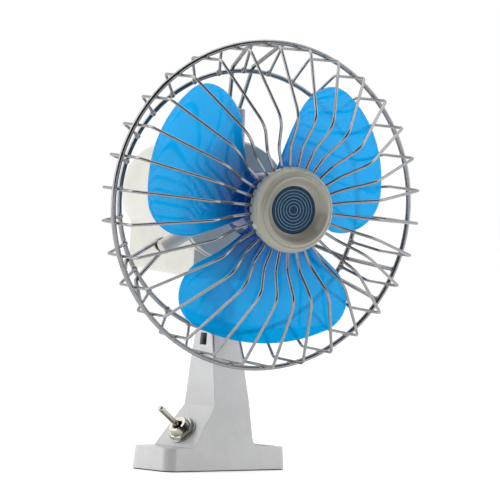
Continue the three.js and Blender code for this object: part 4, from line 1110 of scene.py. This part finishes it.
bezel = lathe("bezel_dressed", [
    (0, badge_seat), (badge_radius + 0.25, badge_seat), (badge_radius + 0.25, badge_front),
    (badge_radius + 0.6, badge_front + 0.25), (14.3, 38.9), (15.3, 39.9), (16.2, 41.1), (17.0, 42.3),
    (17.7, 43.1), (crest_radius - 0.2, bezel_crest), (crest_radius + 0.4, bezel_crest - 0.05), (19.5, 43.2),
    (19.9, 42.85), (20.15, 42.55), (20.45, 42.5), (20.75, 42.6), (21.1, 42.45), (21.8, 41.6), (22.4, 40.5),
    (22.85, 39.4), (23.05, 38.6), (22.95, 38.35), (23.2, 38.05), (bezel_radius, 37.6), (bezel_radius, 34),
    (23.2, 33.4), (22.8, bezel_rear), (21.4, bezel_rear), (21.0, floor_rear + 1.6), (18.4, floor_rear),
    (4, floor_rear), (4, boss_rear), (screw_hole, boss_rear), (screw_hole, floor_rear + 0.8),
    (0, floor_rear + 0.8),
], 128)
shaded(bezel, 28, weighted=False)
warm_grey = moulded("bezel_warm_grey", (0.33, 0.32, 0.265), 0.28, coat=0.4)
fit(bezel, on_head, "head", warm_grey)

ground = badge_front - ring_height
badge_profile = [
    (0, badge_seat + 0.3), (badge_radius, badge_seat + 0.3), (badge_radius, badge_front - 0.25),
    (badge_radius - 0.25, ground),
]
for share in reversed(badge_rings):
    outer, inner = share * badge_radius + badge_ring_width, share * badge_radius - badge_ring_width
    badge_profile += [(outer + 0.12, ground), (outer, badge_front)]
    badge_profile += [(inner, badge_front), (inner - 0.12, ground)]
badge = lathe("badge_dressed", badge_profile + [(0, ground)], 96)
shaded(badge, 25, weighted=False)
dark_blue = Finish("badge_dark_blue", (0.012, 0.05, 0.13), Specular_IOR_Level=0.2)
from_centre = from_axis(dark_blue)
ring_paint = 0
paint_edge, paint_end = (badge_ring_width - 0.03) * mm, (badge_ring_width + 0.14) * mm
for share in badge_rings:
    off = dark_blue.node("Math", {"operation": "ABSOLUTE"}, {0: from_centre - share * badge_radius * mm})
    ring_paint += dark_blue.ramp(off, paint_edge, paint_end, 1.0, 0.0)
speckle = dark_blue.noise(dark_blue.place(), 1800)
speckled = dark_blue.ramp(speckle, 0.3, 0.7)
face_blue = dark_blue.mix(speckled, (0.006, 0.034, 0.085), (0.012, 0.05, 0.115))
dark_blue.feed("Base Color", dark_blue.mix(ring_paint, face_blue, (0.20, 0.33, 0.43)))
dark_blue.feed("Roughness", dark_blue.ramp(speckle, 0.3, 0.7, 0.24, 0.36))
fit(badge, on_head, "head", dark_blue)

clamp = lathe("bezel_clamp_dressed", [
    (screw_hole, clamp_rear), (clamp_radius - 0.6, clamp_rear), (clamp_radius, clamp_rear + 0.6),
    (clamp_radius, clamp_front - 0.3), (clamp_radius - 0.3, clamp_front), (screw_hole, clamp_front),
    (screw_hole, clamp_rear),
], 96)
shaded(clamp, 30)
fit(clamp, on_head, "head", warm_grey)
screw = slotted_screw("bezel_screw_dressed", 3.0, 1.8, 1.5, 5.6)
fit(screw, on_head @ moved(z=clamp_screw_seat) @ upside_down, "head", nickel)
